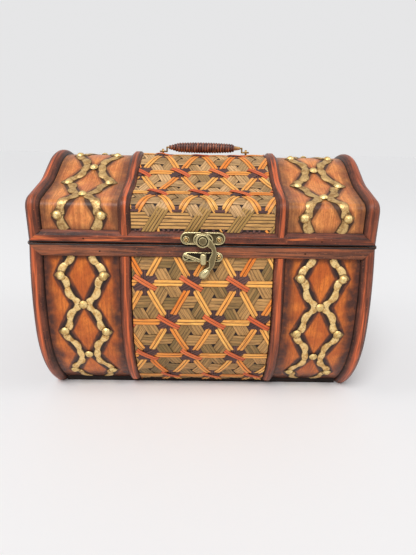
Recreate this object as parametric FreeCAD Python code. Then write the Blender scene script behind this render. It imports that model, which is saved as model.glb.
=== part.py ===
import FreeCAD, Part
import math
import os

# Dome top chest: a bellied wooden base and a hinged dome lid, dressed with half-round mouldings,
# stained panels with brass strapwork, woven panels, a swing hook latch and a wrapped carrying handle.
# X runs along the chest, -Y is the front, +Z is up, and the origin is the middle of the underside.

Vector = FreeCAD.Vector

# Overall sizes, measured over the rims
chest_length = 330.0
half_depth = 107.5
joint_height = 166.5
lid_height = 80.7
lid_gap = 0.8

# Outline of the lid: upright wall, round shoulder, sloping haunch, hollow, roof and round crown.
# The wall is a share of the lid's height, the radii are shares of half the depth, and the two slopes
# are shares of the mean grade from the wall's top to the crown.
lid_wall_share = 0.378
shoulder_share = 0.13
haunch_grade_share = 0.655
hollow_share = 0.558
roof_grade_share = 1.287
crown_share = 0.605

# Outline of the base: a slow belly that turns under to the floor
belly_height = 90.0
belly_radius = 313.0
turn_height = 80.0
foot_radius = 109.0

# Boards, and the panels laid on them
board_thickness = 6.0
end_board_thickness = 6.0
end_recess = 3.0
bottom_thickness = 5.5
bottom_lip = 0.3
panel_thickness = 1.4
weave_thickness = 2.2
glue_line = 0.1

# Mouldings
moulding_proud = 5.0
rim_width = 13.5
rail_height = 11.5
rail_bevel_width = 4.2
rail_bevel_height = 4.6
rail_round = 1.2
batten_place_share = 0.223
batten_width = 12.0
batten_proud = 4.6
batten_flat_share = 0.42
batten_side_share = 0.3
batten_overlap = 5.0

# Brass straps: wavy strips in a chain of diamonds, laid out along the surface
strap_thickness = 1.0
base_strap_pitch = 57.0
lid_strap_pitch = 54.5
strap_outer_share = 0.285
strap_inner_share = 0.106
strap_neck_width = 5.4
strap_bulge_width = 7.8
strap_first_tack = 20.5
lid_first_tack = 12.0
strap_ear = 2.6
strap_ear_width = 5.0

# Domed tacks that hold the straps
tack_diameter = 8.3
tack_rise = 2.4
tack_seat_gap = 0.2

# Butt hinges at the back
hinge_place_share = 0.34
hinge_width = 27.0
hinge_leaf_height = 9.5
hinge_leaf_thickness = 1.2
hinge_pin_diameter = 3.0
hinge_pin_fit = 0.04
hinge_knuckle_diameter = 5.4
hinge_pin_head_diameter = 4.4
hinge_pin_head_rise = 1.0
hinge_clearance = 0.3
hinge_screw_spacing = 17.0

# Round-head screws of the metal fittings
screw_head_diameter = 4.2
screw_head_rise = 0.9
screw_shank_diameter = 1.8
screw_fit = 0.1
screw_length = 5.5
screw_edge_distance = 3.15

# Swing hook latch on the lid rail
latch_plate_length = 43.0
latch_plate_height = 11.2
latch_plate_lobe = 9.4
latch_plate_thickness = 1.2
latch_boss_length = 18.6
latch_boss_height = 10.0
latch_boss_rise = 4.9
latch_pivot_drop = 6.6
latch_screw_spacing = 31.0
latch_pin_diameter = 3.6
latch_pin_fit = 0.05
latch_pin_head_diameter = 6.8
latch_pin_head_rise = 1.2
hook_thickness = 1.8
hook_seat_gap = 0.15
hook_eye_diameter = 13.2
hook_length = 37.0
# Corners of the hook below its eye, as shares of the hook's length: across, then down
hook_outer_start_shares = (0.150, -0.075)
hook_outer_bow_shares = (0.360, 0.350)
hook_neck_right_shares = (0.236, 0.735)
hook_tab_right_shares = (0.145, 0.915)
hook_tab_tip_shares = (0.020, 1.000)
hook_tab_left_shares = (-0.058, 0.905)
hook_neck_left_shares = (0.146, 0.706)
hook_inner_bow_shares = (0.224, 0.360)
hook_inner_start_shares = (0.110, 0.130)

# Keeper plate on the base rail
keeper_length = 38.5
keeper_height = 9.4
keeper_thickness = 1.2
keeper_drop = 10.6
keeper_screw_place = 15.4
keeper_slot_length = 10.0
keeper_slot_width = 2.6
keeper_slot_place = 11.0
keeper_nose_width = 6.4
keeper_nose_length = 12.0
keeper_nose_rise = 0.9
keeper_nose_place = 1.6
keeper_nose_drop = 1.6

# Carrying handle on the crown
handle_pivot_drop = 0.1
handle_crank = 4.4
handle_eye_place = 46.5
handle_eye_diameter = 5.6
handle_eye_width = 2.0
handle_wire_diameter = 1.8
handle_wire_fit = 0.05
handle_wire_tail = 2.6
handle_wire_bend = 2.0
handle_shank_diameter = 2.2
handle_shank_length = 10.5
handle_grip_length = 80.0
handle_wrapped_length = 68.0
handle_core_middle_diameter = 6.4
handle_core_end_diameter = 4.8
handle_tip_diameter = 3.0
wrap_diameter = 2.2
wrap_sides = 6
wrap_turns = 22
wrap_seat_gap = 0.2

# How far cutting shapes run past what they cut
overrun = 20.0

# Places that follow from the sizes above
half_length = chest_length / 2
lid_bottom = joint_height + lid_gap
chest_height = lid_bottom + lid_height
lid_wall_height = lid_height * lid_wall_share
lid_grade = (lid_height - lid_wall_height) / half_depth
haunch_slope = math.atan(lid_grade * haunch_grade_share)
roof_slope = math.atan(lid_grade * roof_grade_share)
shoulder_radius = half_depth * shoulder_share
hollow_radius = half_depth * hollow_share
crown_radius = half_depth * crown_share
handle_pivot_height = chest_height - handle_pivot_drop
hinge_place = chest_length * hinge_place_share
batten_place = chest_length * batten_place_share
panel_face = moulding_proud
panel_back = panel_face + panel_thickness
board_face = panel_back + glue_line
board_back = board_face + board_thickness
weave_face = panel_back - weave_thickness
strap_back = panel_face - glue_line
strap_face = strap_back - strap_thickness
rim_inner = half_length - rim_width
rim_middle = half_length - rim_width / 2
end_outer = half_length - end_recess
end_inner = end_outer - end_board_thickness
weave_half_width = batten_place - batten_width / 2 - glue_line
panel_left = batten_place + batten_width / 2 + glue_line
panel_right = rim_inner - glue_line
panel_middle = (panel_left + panel_right) / 2
strap_outer_place = (panel_right - panel_left) * strap_outer_share
strap_inner_place = (panel_right - panel_left) * strap_inner_share
rail_low = joint_height - rail_height
rail_high = lid_bottom + rail_height
up = Vector(0, 0, 1)
along_x = Vector(1, 0, 0)
backwards = Vector(0, 1, 0)


def line(start, end):
    return Part.LineSegment(start, end).toShape()


def arc(start, middle, end):
    return Part.Arc(start, middle, end).toShape()


def wire_of(edges):
    return Part.Wire(Part.sortEdges(edges)[0])


def length_of(edges):
    return sum(edge.Length for edge in edges)


def block(low, high):
    size = high - low
    return Part.makeBox(size.x, size.y, size.z, low)


def prism(points, along):
    """A solid from a closed polygon, extruded along a vector."""
    return Part.Face(Part.makePolygon(points + points[:1])).extrude(along)


def to_back(shape):
    return shape.mirror(Vector(0, 0, 0), backwards)


def to_left(shape):
    return shape.mirror(Vector(0, 0, 0), along_x)


def moved(shape, place):
    copy = shape.copy()
    copy.translate(place)
    return copy


def rounded(shape, radius, choose):
    """A copy with the chosen edges rounded."""
    return shape.makeFillet(radius, [edge for edge in shape.Edges if choose(edge)])


# Outlines in the YZ plane, each one moved inwards by an inset


def walk(start, heading, steps):
    """Edges from a start and a heading, one for each (length, 0) run or (radius, turn) arc."""
    edges = []
    point = start
    for size, turn in steps:
        if turn:
            side = math.copysign(size, turn)
            centre = point + Vector(0, -math.sin(heading), math.cos(heading)) * side
            spin = FreeCAD.Rotation(along_x, math.degrees(turn))
            half_spin = FreeCAD.Rotation(along_x, math.degrees(turn / 2))
            spoke = point - centre
            end = centre + spin.multVec(spoke)
            edges.append(arc(point, centre + half_spin.multVec(spoke), end))
            heading += turn
        else:
            end = point + Vector(0, math.cos(heading), math.sin(heading)) * size
            edges.append(line(point, end))
        point = end
    return edges


def lid_run_lengths():
    """Straight lengths of haunch and roof that bring the crown to the middle at its full height."""
    across = half_depth - shoulder_radius * (1 - math.sin(haunch_slope))
    across -= hollow_radius * (math.sin(roof_slope) - math.sin(haunch_slope))
    across -= crown_radius * math.sin(roof_slope)
    rise = lid_height - lid_wall_height - shoulder_radius * math.cos(haunch_slope)
    rise -= hollow_radius * (math.cos(haunch_slope) - math.cos(roof_slope))
    rise -= crown_radius * (1 - math.cos(roof_slope))
    spread = math.sin(roof_slope - haunch_slope)
    haunch = (across * math.sin(roof_slope) - rise * math.cos(roof_slope)) / spread
    roof = (rise * math.cos(haunch_slope) - across * math.sin(haunch_slope)) / spread
    return haunch, roof


def lid_curve(inset, low=lid_bottom):
    """The lid's outline from the front, over the crown, to the back."""
    haunch, roof = lid_run_lengths()
    quarter = math.pi / 2
    rise = [
        (lid_bottom + lid_wall_height - low, 0),
        (shoulder_radius - inset, haunch_slope - quarter),
        (haunch, 0),
        (hollow_radius + inset, roof_slope - haunch_slope),
        (roof, 0),
    ]
    crown = [(crown_radius - inset, -roof_slope), (crown_radius - inset, -roof_slope)]
    return walk(Vector(0, inset - half_depth, low), quarter, rise + crown + rise[::-1])


def belly_centre():
    lean = math.asin((joint_height - belly_height) / belly_radius)
    return Vector(0, belly_radius * math.cos(lean) - half_depth, belly_height)


def turn_angle():
    return math.asin((belly_height - turn_height) / belly_radius)


def foot_centre():
    spoke = Vector(0, -math.cos(turn_angle()), -math.sin(turn_angle()))
    return belly_centre() + spoke * (belly_radius - foot_radius)


def base_curve(inset, low, high):
    """The base's front outline from a height down to a lower one."""
    belly = belly_radius - inset
    foot = foot_radius - inset
    start = math.asin((belly_height - high) / belly)
    stop = min(turn_angle(), math.asin((belly_height - low) / belly))
    pieces = [(belly_centre(), belly, start, stop)]
    if stop == turn_angle():
        pieces.append((foot_centre(), foot, stop, math.asin((foot_centre().z - low) / foot)))
    edges = []
    for centre, radius, first, last in pieces:
        angles = (first, (first + last) / 2, last)
        points = [
            centre - Vector(0, math.cos(angle), math.sin(angle)) * radius for angle in angles
        ]
        edges.append(arc(*points))
    return edges


def ends_of(edges):
    """First and last point of edges that were made in order."""
    return edges[0].valueAt(edges[0].FirstParameter), edges[-1].valueAt(edges[-1].LastParameter)


def slab(outer, inner, low, high):
    """A solid between two outlines, from one X to another."""
    caps = [line(a, b) for a, b in zip(ends_of(outer), ends_of(inner))]
    face = Part.Face(wire_of(outer + inner + caps))
    return moved(face, along_x * low).extrude(along_x * (high - low))


def lid_slab(outer, inner, low, high, bottom=lid_bottom):
    return slab(lid_curve(outer, bottom), lid_curve(inner, bottom), low, high)


def base_slab(outer, inner, low, high, bottom, top):
    return slab(base_curve(outer, bottom, top), base_curve(inner, bottom, top), low, high)


def moulding(edges, section):
    """A moulding that follows an outline: its section is drawn across each edge and carried along."""
    lengths = []
    for edge in edges:
        start, end = ends_of([edge])
        forward = edge.tangentAt(edge.FirstParameter)
        outwards = forward.cross(along_x)
        if outwards.dot(start - up * belly_height) < 0:
            outwards = -outwards

        def place(across, out):
            return start + along_x * across + outwards * out

        face = Part.Face(wire_of(section(place)))
        if isinstance(edge.Curve, Part.Circle):
            spoke = start - edge.Curve.Center
            turn = math.copysign(edge.Length / edge.Curve.Radius, along_x.cross(spoke).dot(forward))
            lengths.append(face.revolve(edge.Curve.Center, along_x, math.degrees(turn)))
        else:
            lengths.append(face.extrude(end - start))
    return lengths[0].fuse(lengths[1:]).removeSplitter() if lengths[1:] else lengths[0]


def half_round(width, proud):
    """Section of a half-round moulding: a flat seat, sides as thick as the panels, a round face."""
    top = panel_thickness + proud

    def section(place):
        left, right = place(-width / 2, panel_thickness), place(width / 2, panel_thickness)
        return [
            line(place(-width / 2, 0), place(width / 2, 0)),
            line(place(width / 2, 0), right),
            arc(right, place(0, top), left),
            line(left, place(-width / 2, 0)),
        ]

    return section


def faceted(width, proud):
    """Section of a moulding with a flat face between two slanted ones."""
    side = panel_thickness + proud * batten_side_share
    top = panel_thickness + proud
    flat = width * batten_flat_share

    def section(place):
        corners = [
            place(-width / 2, 0),
            place(width / 2, 0),
            place(width / 2, side),
            place(flat / 2, top),
            place(-flat / 2, top),
            place(-width / 2, side),
        ]
        return [line(a, b) for a, b in zip(corners, corners[1:] + corners[:1])]

    return section


def mitre(inner_height, outer_height):
    """Two wedges that part a rail from the right rim: the rail's side and the rim's side."""
    slope = (outer_height - inner_height) / rim_width
    front = -half_depth - overrun
    start = Vector(rim_inner - overrun, front, inner_height - slope * overrun)
    end = Vector(half_length + overrun, front, outer_height + slope * overrun)
    rail_corner = Vector(start.x, front, end.z)
    rim_corner = Vector(end.x, front, start.z)
    depth = backwards * (half_depth + overrun)
    return prism([start, end, rail_corner], depth), prism([start, end, rim_corner], depth)


def is_long(edge):
    """Whether a straight edge runs the length of the chest."""
    return abs((edge.lastVertex().Point - edge.firstVertex().Point).x) > half_length


# Base boards: bent front and back, flat ends, and a bottom whose edge shows below the panels
base_board = base_slab(board_face, board_back, -end_inner, end_inner, bottom_thickness, joint_height)
end_curve = base_curve(board_face, 0, joint_height)
base_end = slab(end_curve, [to_back(edge) for edge in end_curve], end_inner, end_outer)
bottom_edge = ends_of(base_curve(panel_face, bottom_thickness, joint_height))[1]
bottom_half_depth = bottom_lip - bottom_edge.y
bottom_board = block(
    Vector(-end_inner, -bottom_half_depth, 0), Vector(end_inner, bottom_half_depth, bottom_thickness)
)
rim_room = block(
    Vector(rim_inner - glue_line, -bottom_half_depth - overrun, -overrun),
    Vector(half_length, ends_of(end_curve)[1].y, bottom_thickness + overrun),
)
for corner in (rim_room, to_left(rim_room), to_back(rim_room), to_left(to_back(rim_room))):
    bottom_board = bottom_board.cut(corner)

# Base rims: half-round, from the joint down to the floor, mitred to the rails
base_rail_side, base_rim_side = mitre(rail_low, joint_height)
base_rim = moulding(
    base_curve(panel_back, -glue_line, joint_height + overrun),
    half_round(rim_width, moulding_proud),
)
base_rim = moved(base_rim, along_x * rim_middle)
base_rim = base_rim.common(
    block(Vector(0, -half_depth - overrun, 0), Vector(half_length, 0, joint_height))
)
base_rim = base_rim.cut(base_rail_side)

# Base rails: along the top of the front and back, with their two outer edges rounded
base_rail = base_slab(0, panel_back, -half_length, half_length, rail_low, joint_height)
base_rail = rounded(
    base_rail, rail_round, lambda edge: is_long(edge) and edge.CenterOfMass.y < -half_depth + rail_round
)
base_rail = base_rail.cut(base_rim_side).cut(to_left(base_rim_side))

# Base battens: half-round, from under the rail to the edge of the bottom board
base_batten = moulding(
    base_curve(panel_back, 0, joint_height), half_round(batten_width, batten_proud)
)
base_batten = base_batten.common(
    block(
        Vector(-batten_width, -half_depth - overrun, bottom_thickness),
        Vector(batten_width, 0, rail_low - glue_line),
    )
)
base_batten = moved(base_batten, along_x * batten_place)

# Base panels: stained panels beside the rims, and a woven one between the battens
base_panel = base_slab(
    panel_face, panel_back, panel_left, panel_right, bottom_thickness, rail_low - glue_line
)
base_weave = base_slab(
    weave_face,
    panel_back,
    -weave_half_width,
    weave_half_width,
    bottom_thickness,
    rail_low - glue_line,
)

# Lid boards: one sheet bent over the dome, and two flat ends
lid_board = lid_slab(board_face, board_back, -end_inner, end_inner)
lid_end_curve = lid_curve(board_face)
lid_end_face = Part.Face(wire_of(lid_end_curve + [line(*ends_of(lid_end_curve))]))
lid_end = moved(lid_end_face, along_x * end_inner).extrude(along_x * end_board_thickness)

# Lid rails: a flat face with a bevelled top, mitred to the rims
lid_rail_side, lid_rim_side = mitre(rail_high, lid_bottom)
rail_outline = [
    Vector(-half_length, panel_back - half_depth, lid_bottom),
    Vector(-half_length, -half_depth, lid_bottom),
    Vector(-half_length, -half_depth, rail_high - rail_bevel_height),
    Vector(-half_length, rail_bevel_width - half_depth, rail_high),
    Vector(-half_length, panel_back - half_depth, rail_high),
]
lid_rail = prism(rail_outline, along_x * chest_length)
lid_rail = rounded(
    lid_rail,
    rail_round,
    lambda edge: is_long(edge) and edge.CenterOfMass.y < rail_round - half_depth,
)
lid_rail = lid_rail.cut(lid_rim_side).cut(to_left(lid_rim_side))

# Lid rims: half-round, over the dome from the front joint to the back joint
lid_rim = moulding(lid_curve(panel_back), half_round(rim_width, moulding_proud))
lid_rim = moved(lid_rim, along_x * rim_middle).cut(lid_rail_side).cut(to_back(lid_rail_side))

# Lid battens: faceted, with pointed ends that lap over the bevel of the rails
lid_batten = moulding(
    lid_curve(panel_back, rail_high - batten_overlap), faceted(batten_width, batten_proud)
)
lid_batten = moved(lid_batten, along_x * batten_place).cut(lid_rail).cut(to_back(lid_rail))

# Lid panels: stained panels beside the rims, and a woven one between the battens
lid_panel = lid_slab(panel_face, panel_back, panel_left, panel_right, rail_high + glue_line)
lid_weave = lid_slab(
    weave_face, panel_back, -weave_half_width, weave_half_width, rail_high + glue_line
)


# Strapwork: a zigzag of nodes laid out on a panel as (across from its middle, along its surface)


def point_along(edges, distance):
    """The point and the way of travel at a distance along edges, carried on straight past the last."""
    for edge in edges:
        past = distance - edge.Length
        if past <= 0 or edge is edges[-1]:
            parameter = edge.getParameterByLength(min(distance, edge.Length))
            way = edge.tangentAt(parameter)
            return edge.valueAt(parameter) + way * max(past, 0), way
        distance = past


def zigzag(first_outer, pitch, low, high):
    """Nodes of one strap, in turn at the outer and the inner place, that cover a length of surface."""
    nodes = []
    count = math.floor((low - first_outer) / pitch)
    while first_outer + pitch * count < high + pitch:
        outer = first_outer + pitch * count
        nodes += [(strap_outer_place, outer), (strap_inner_place, outer + pitch / 2)]
        count += 1
    return nodes


def strap_edges(nodes):
    """Left and right edge of a strap: lists of points, bulges between necks, four steps to a leg."""
    left, right = [], []
    for (x, s), (next_x, next_s) in zip(nodes, nodes[1:]):
        leg = math.hypot(next_x - x, next_s - s)
        normal_x, normal_s = (next_s - s) / leg, (x - next_x) / leg
        for step in range(4):
            share = step / 4
            half = (strap_bulge_width if step % 2 else strap_neck_width) / 2
            across, lift = (normal_x, normal_s) if step else (1, 0)
            middle_x, middle_s = x + (next_x - x) * share, s + (next_s - s) * share
            left.append((middle_x - across * half, middle_s - lift * half))
            right.append((middle_x + across * half, middle_s + lift * half))
    last_x, last_s = nodes[-1]
    left.append((last_x - strap_neck_width / 2, last_s))
    right.append((last_x + strap_neck_width / 2, last_s))
    return left, right


def strap(edges, nodes, facing, skin):
    """A strap cut from a thin skin by its flat outline, which is pushed through it along facing."""
    through = facing * (chest_height + half_depth)

    def on_plane(x, s):
        point = point_along(edges, s)[0] + along_x * (panel_middle + x)
        return point - facing * point.dot(facing) - through

    def flat(points):
        return [on_plane(x, s) for x, s in points]

    left, right = [flat(side) for side in strap_edges(nodes)]
    outline = [line(left[0], right[0]), line(left[-1], right[-1])]
    for side in (left, right):
        outline += [arc(*side[start : start + 3]) for start in range(0, len(side) - 1, 2)]
    shape = skin.common(Part.Face(wire_of(outline)).extrude(through))
    for x, s in nodes:
        if x == strap_outer_place:
            root = x + strap_neck_width / 4
            tip = x + strap_neck_width / 2 + strap_ear
            half = strap_ear_width / 2
            corners = flat([(root, s - half), (tip, s), (root, s + half)])
            ear = skin.common(prism(corners, through))
            shape = shape.fuse(ear) if ear.Volume else shape
    return shape.removeSplitter()


def across_panel(shape):
    """The same piece on the other side of its panel's middle line."""
    return shape.mirror(along_x * panel_middle, along_x)


def dome(diameter, rise):
    """A domed head that stands on its flat underside."""
    radius = (diameter * diameter / 4 + rise * rise) / (2 * rise)
    latitude = math.degrees(math.asin((radius - rise) / radius))
    return Part.makeSphere(radius, up * (rise - radius), up, latitude, 90, 360)


def facing_out(shape, point, direction):
    """A shape that stands up along Z, set on a point along a direction."""
    copy = shape.copy()
    copy.Placement = FreeCAD.Placement(point, FreeCAD.Rotation(up, direction))
    return copy


def tacks(edges, nodes, low, high):
    """Tacks on the outer nodes of both straps, and one between the straps at each inner node."""
    heads = []
    for x, s in nodes:
        if low < s < high:
            point, forward = point_along(edges, s)
            outwards = forward.cross(along_x)
            if outwards.dot(point - up * joint_height / 2) < 0:
                outwards = -outwards
            seat = point + outwards * (panel_face - strap_face + tack_seat_gap)
            places = (-x, x) if x == strap_outer_place else (0,)
            for place in places:
                head = dome(tack_diameter, tack_rise)
                heads.append(facing_out(head, seat + along_x * (panel_middle + place), outwards))
    return heads


# Straps and tacks of the base, laid out downwards from above the rail
base_strip = base_curve(panel_face, 0, rail_low + overrun)
base_lead = length_of(base_curve(panel_face, rail_low, rail_low + overrun))
base_run = length_of(base_curve(panel_face, bottom_thickness, rail_low))
base_nodes = zigzag(base_lead + strap_first_tack, base_strap_pitch, base_lead, base_lead + base_run)
base_nodes = [node for node in base_nodes if 0 < node[1]]
base_skin = base_slab(
    strap_face, strap_back, panel_left, panel_right, bottom_thickness, rail_low - glue_line
)
base_strap = strap(base_strip, base_nodes, backwards, base_skin)
base_tacks = tacks(
    base_strip, base_nodes, base_lead + tack_diameter, base_lead + base_run - tack_diameter
)

# Straps and tacks of the lid, one chain over the crown with its first tacks just in front of it
lid_strip = lid_curve(panel_face, lid_bottom - overrun)
lid_half = length_of(lid_strip) / 2
lid_skin = lid_slab(strap_face, strap_back, panel_left, panel_right, rail_high + glue_line)
slant = Vector(0, 1, -1).normalize()
front_of_crown = block(
    Vector(0, -half_depth - overrun, 0), Vector(half_length, 0, chest_height + overrun)
)
lid_front_skin = lid_skin.common(front_of_crown)


def half_chain(first_tack):
    """The strap and tacks from the crown down to one rail, as they lie on the front."""
    nodes = zigzag(first_tack, lid_strap_pitch, 0, lid_half)
    nodes = [node for node in nodes if 0 < node[1] <= lid_half + lid_strap_pitch]
    heads = tacks(lid_strip, nodes, overrun + rail_height + tack_diameter, lid_half)
    return strap(lid_strip, nodes, slant, lid_front_skin), heads


front_strap, lid_front_tacks = half_chain(lid_half - lid_first_tack)
back_strap, lid_back_tacks = half_chain(lid_half + lid_first_tack)
lid_strap = front_strap.fuse(to_back(back_strap)).removeSplitter()
lid_tacks = lid_front_tacks + [to_back(tack) for tack in lid_back_tacks]


# Metal fittings


def screw():
    """A round-head screw that stands with the underside of its head at zero."""
    shank = Part.makeCylinder(screw_shank_diameter / 2, screw_length, Vector(0, 0, -screw_length))
    return dome(screw_head_diameter, screw_head_rise).fuse(shank)


def screw_hole(depth):
    radius = screw_shank_diameter / 2 + screw_fit
    return Part.makeCylinder(radius, depth + depth, Vector(0, 0, -depth))


def stadium(length, height, thickness):
    """A flat bar with round ends, that lies along X and is as thick as given along Z."""
    straight = (length - height) / 2
    bar = block(Vector(-straight, -height / 2, 0), Vector(straight, height / 2, thickness))
    for end in (-straight, straight):
        bar = bar.fuse(Part.makeCylinder(height / 2, thickness, along_x * end))
    return bar.removeSplitter()


# Hinges: two leaves that hug the back rails, knuckles rolled round a headed pin
knuckle_radius = hinge_knuckle_diameter / 2
axis_y = half_depth + knuckle_radius + hinge_clearance
axis_z = joint_height + lid_gap / 2
knuckle_width = (hinge_width - 2 * hinge_clearance) / 3
knuckle_step = knuckle_width + hinge_clearance


def hinge_cylinder(radius, width, middle):
    start = Vector(middle - width / 2, axis_y, axis_z)
    return Part.makeCylinder(radius, width, start, along_x)


def hinge_leaf(plate, own, other):
    """A leaf with its own knuckles, cut clear of the other leaf's, bored for the pin."""
    leaf = plate
    for place in own:
        leaf = leaf.fuse(hinge_cylinder(knuckle_radius, knuckle_width, place))
    for place in other:
        clear = hinge_cylinder(
            knuckle_radius + hinge_clearance, knuckle_width + 2 * hinge_clearance, place
        )
        leaf = leaf.cut(clear)
    bore = hinge_pin_diameter / 2 + hinge_pin_fit
    return leaf.cut(hinge_cylinder(bore, hinge_width + overrun, 0)).removeSplitter()


leaf_back = -glue_line
leaf_face = leaf_back - hinge_leaf_thickness
base_plate = to_back(
    base_slab(
        leaf_face,
        leaf_back,
        -hinge_width / 2,
        hinge_width / 2,
        joint_height - hinge_leaf_height,
        joint_height,
    )
)
lid_plate = block(
    Vector(-hinge_width / 2, half_depth - leaf_back, lid_bottom),
    Vector(hinge_width / 2, half_depth - leaf_face, lid_bottom + hinge_leaf_height),
)
base_leaf = hinge_leaf(base_plate, (-knuckle_step, knuckle_step), (0,))
lid_leaf = hinge_leaf(lid_plate, (0,), (-knuckle_step, knuckle_step))
hinge_pin = hinge_cylinder(hinge_pin_diameter / 2, hinge_width, 0)
for side in (-1, 1):
    middle = side * (hinge_width + hinge_pin_head_rise) / 2
    hinge_pin = hinge_pin.fuse(
        hinge_cylinder(hinge_pin_head_diameter / 2, hinge_pin_head_rise, middle)
    )

base_screw_height = joint_height - hinge_leaf_height + screw_edge_distance
base_screw_edge = base_curve(leaf_face, base_screw_height, joint_height)[-1]
base_screw_point = to_back(Part.Vertex(ends_of([base_screw_edge])[1])).Point
base_screw_out = (base_screw_point - to_back(Part.Vertex(belly_centre())).Point).normalize()
lid_screw_point = Vector(
    0, half_depth - leaf_face, lid_bottom + hinge_leaf_height - screw_edge_distance
)
hinge_screws = {"base": [], "lid": []}
for side in (-1, 1):
    across = along_x * (side * hinge_screw_spacing / 2)
    for name, point, out in (
        ("base", base_screw_point, base_screw_out),
        ("lid", lid_screw_point, backwards),
    ):
        hinge_screws[name].append(facing_out(screw(), point + across, out))
        hole = facing_out(screw_hole(screw_length), point + across, out)
        if name == "base":
            base_leaf = base_leaf.cut(hole)
        else:
            lid_leaf = lid_leaf.cut(hole)

# Latch plate: round ended with a bulge in the middle, and a raised boss that carries the pivot
latch_y = -half_depth - glue_line
pivot_z = rail_high - latch_pivot_drop
pivot = Vector(0, latch_y, pivot_z)
outwards = -backwards
latch_plate = stadium(latch_plate_length, latch_plate_lobe, latch_plate_thickness)
latch_plate = latch_plate.fuse(
    Part.makeCylinder(latch_plate_height / 2, latch_plate_thickness)
)
latch_plate = latch_plate.fuse(
    moved(stadium(latch_boss_length, latch_boss_height, latch_boss_rise), up * latch_plate_thickness)
)
latch_rise = latch_plate_thickness + latch_boss_rise
latch_plate = latch_plate.removeSplitter().cut(
    Part.makeCylinder(latch_pin_diameter / 2 + latch_pin_fit, latch_rise)
)
latch_screws = []
for side in (-1, 1):
    place = Vector(side * latch_screw_spacing / 2, 0, latch_plate_thickness)
    latch_plate = latch_plate.cut(moved(screw_hole(latch_plate_thickness), place))
    latch_screws.append(moved(screw(), place))

# Pivot rivet through the hook and the boss
hook_back = latch_rise + hook_seat_gap
rivet_head_seat = hook_back + hook_thickness + hook_seat_gap
latch_rivet = Part.makeCylinder(latch_pin_diameter / 2, rivet_head_seat)
latch_rivet = latch_rivet.fuse(
    moved(dome(latch_pin_head_diameter, latch_pin_head_rise), up * rivet_head_seat)
)


# Hook: an eye round the pivot, a crescent that bows to the right, and a spoon shaped finger tab


def hook_point(shares):
    return Vector(shares[0] * hook_length, -shares[1] * hook_length, hook_back)


outer_start, neck_right = hook_point(hook_outer_start_shares), hook_point(hook_neck_right_shares)
tab_right, tab_left = hook_point(hook_tab_right_shares), hook_point(hook_tab_left_shares)
neck_left, inner_start = hook_point(hook_neck_left_shares), hook_point(hook_inner_start_shares)
hook_outline = [
    arc(outer_start, hook_point(hook_outer_bow_shares), neck_right),
    line(neck_right, tab_right),
    arc(tab_right, hook_point(hook_tab_tip_shares), tab_left),
    line(tab_left, neck_left),
    arc(neck_left, hook_point(hook_inner_bow_shares), inner_start),
    line(inner_start, outer_start),
]
hook = Part.Face(wire_of(hook_outline)).extrude(up * hook_thickness)
hook = hook.fuse(Part.makeCylinder(hook_eye_diameter / 2, hook_thickness, up * hook_back))
hook = hook.removeSplitter().cut(
    Part.makeCylinder(latch_pin_diameter / 2 + latch_pin_fit, rivet_head_seat)
)


def on_front(shape, point, direction):
    """A fitting drawn flat, X across and Y up, turned to face outwards at a point of the front."""
    turned = shape.copy()
    upright = FreeCAD.Rotation(along_x, along_x.cross(direction) * -1, direction, "ZXY")
    turned.Placement = FreeCAD.Placement(point, upright).multiply(shape.Placement)
    return turned


# Keeper plate: a slotted bar with a raised round nose, laid on the slope of the base rail
keeper_z = joint_height - keeper_drop
keeper_seat = ends_of(base_curve(-glue_line, keeper_z, joint_height))[1]
keeper_out = (keeper_seat - belly_centre()).normalize()
keeper_plate = stadium(keeper_length, keeper_height, keeper_thickness)
slot = moved(
    stadium(keeper_slot_length, keeper_slot_width, overrun),
    Vector(-keeper_slot_place, 0, -overrun / 2),
)
nose = stadium(keeper_nose_length, keeper_nose_width, keeper_nose_rise)
nose.rotate(Vector(0, 0, 0), up, 90)
nose = moved(nose, Vector(keeper_nose_place, -keeper_nose_drop, keeper_thickness))
keeper_hole = moved(screw_hole(keeper_thickness), Vector(keeper_screw_place, 0, keeper_thickness))
keeper_plate = keeper_plate.cut(slot).fuse(nose).removeSplitter().cut(keeper_hole)
keeper_screw = moved(screw(), Vector(keeper_screw_place, 0, keeper_thickness))

# Handle grip: a spindle that tapers to small round tips, along X above the crown
grip_axis = Vector(0, 0, handle_pivot_height + handle_crank)
half_grip = handle_grip_length / 2
half_wrap = handle_wrapped_length / 2
core_outline = [
    Vector(-half_grip, 0, 0),
    Vector(-half_grip, 0, handle_tip_diameter / 2),
    Vector(-half_wrap, 0, handle_core_end_diameter / 2),
    Vector(0, 0, handle_core_middle_diameter / 2),
    Vector(half_wrap, 0, handle_core_end_diameter / 2),
    Vector(half_grip, 0, handle_tip_diameter / 2),
    Vector(half_grip, 0, 0),
]
handle_core = Part.Face(Part.makePolygon(core_outline + core_outline[:1]))
handle_core = handle_core.revolve(Vector(0, 0, 0), along_x, 360)
handle_core = moved(handle_core, grip_axis)


# Wrapping of the grip: one strand of split cane wound over the spindle


def biarc(start, start_way, end, end_way):
    """Two arcs that join two points with given ways of travel and share a way where they meet."""
    span = end - start
    ways = start_way + end_way
    twist = 2 * (1 - start_way.dot(end_way))
    reach = (math.sqrt(span.dot(ways) ** 2 + twist * span.dot(span)) - span.dot(ways)) / twist
    first_corner, second_corner = start + start_way * reach, end - end_way * reach
    meet = (first_corner + second_corner) * 0.5
    arcs = []
    for a, corner, b in ((start, first_corner, meet), (meet, second_corner, end)):
        middle = (a + b) * 0.5
        slope = (b - a).Length / (2 * reach)
        arcs.append(arc(a, middle + (corner - middle) * (slope / (1 + slope)), b))
    return arcs


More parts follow.
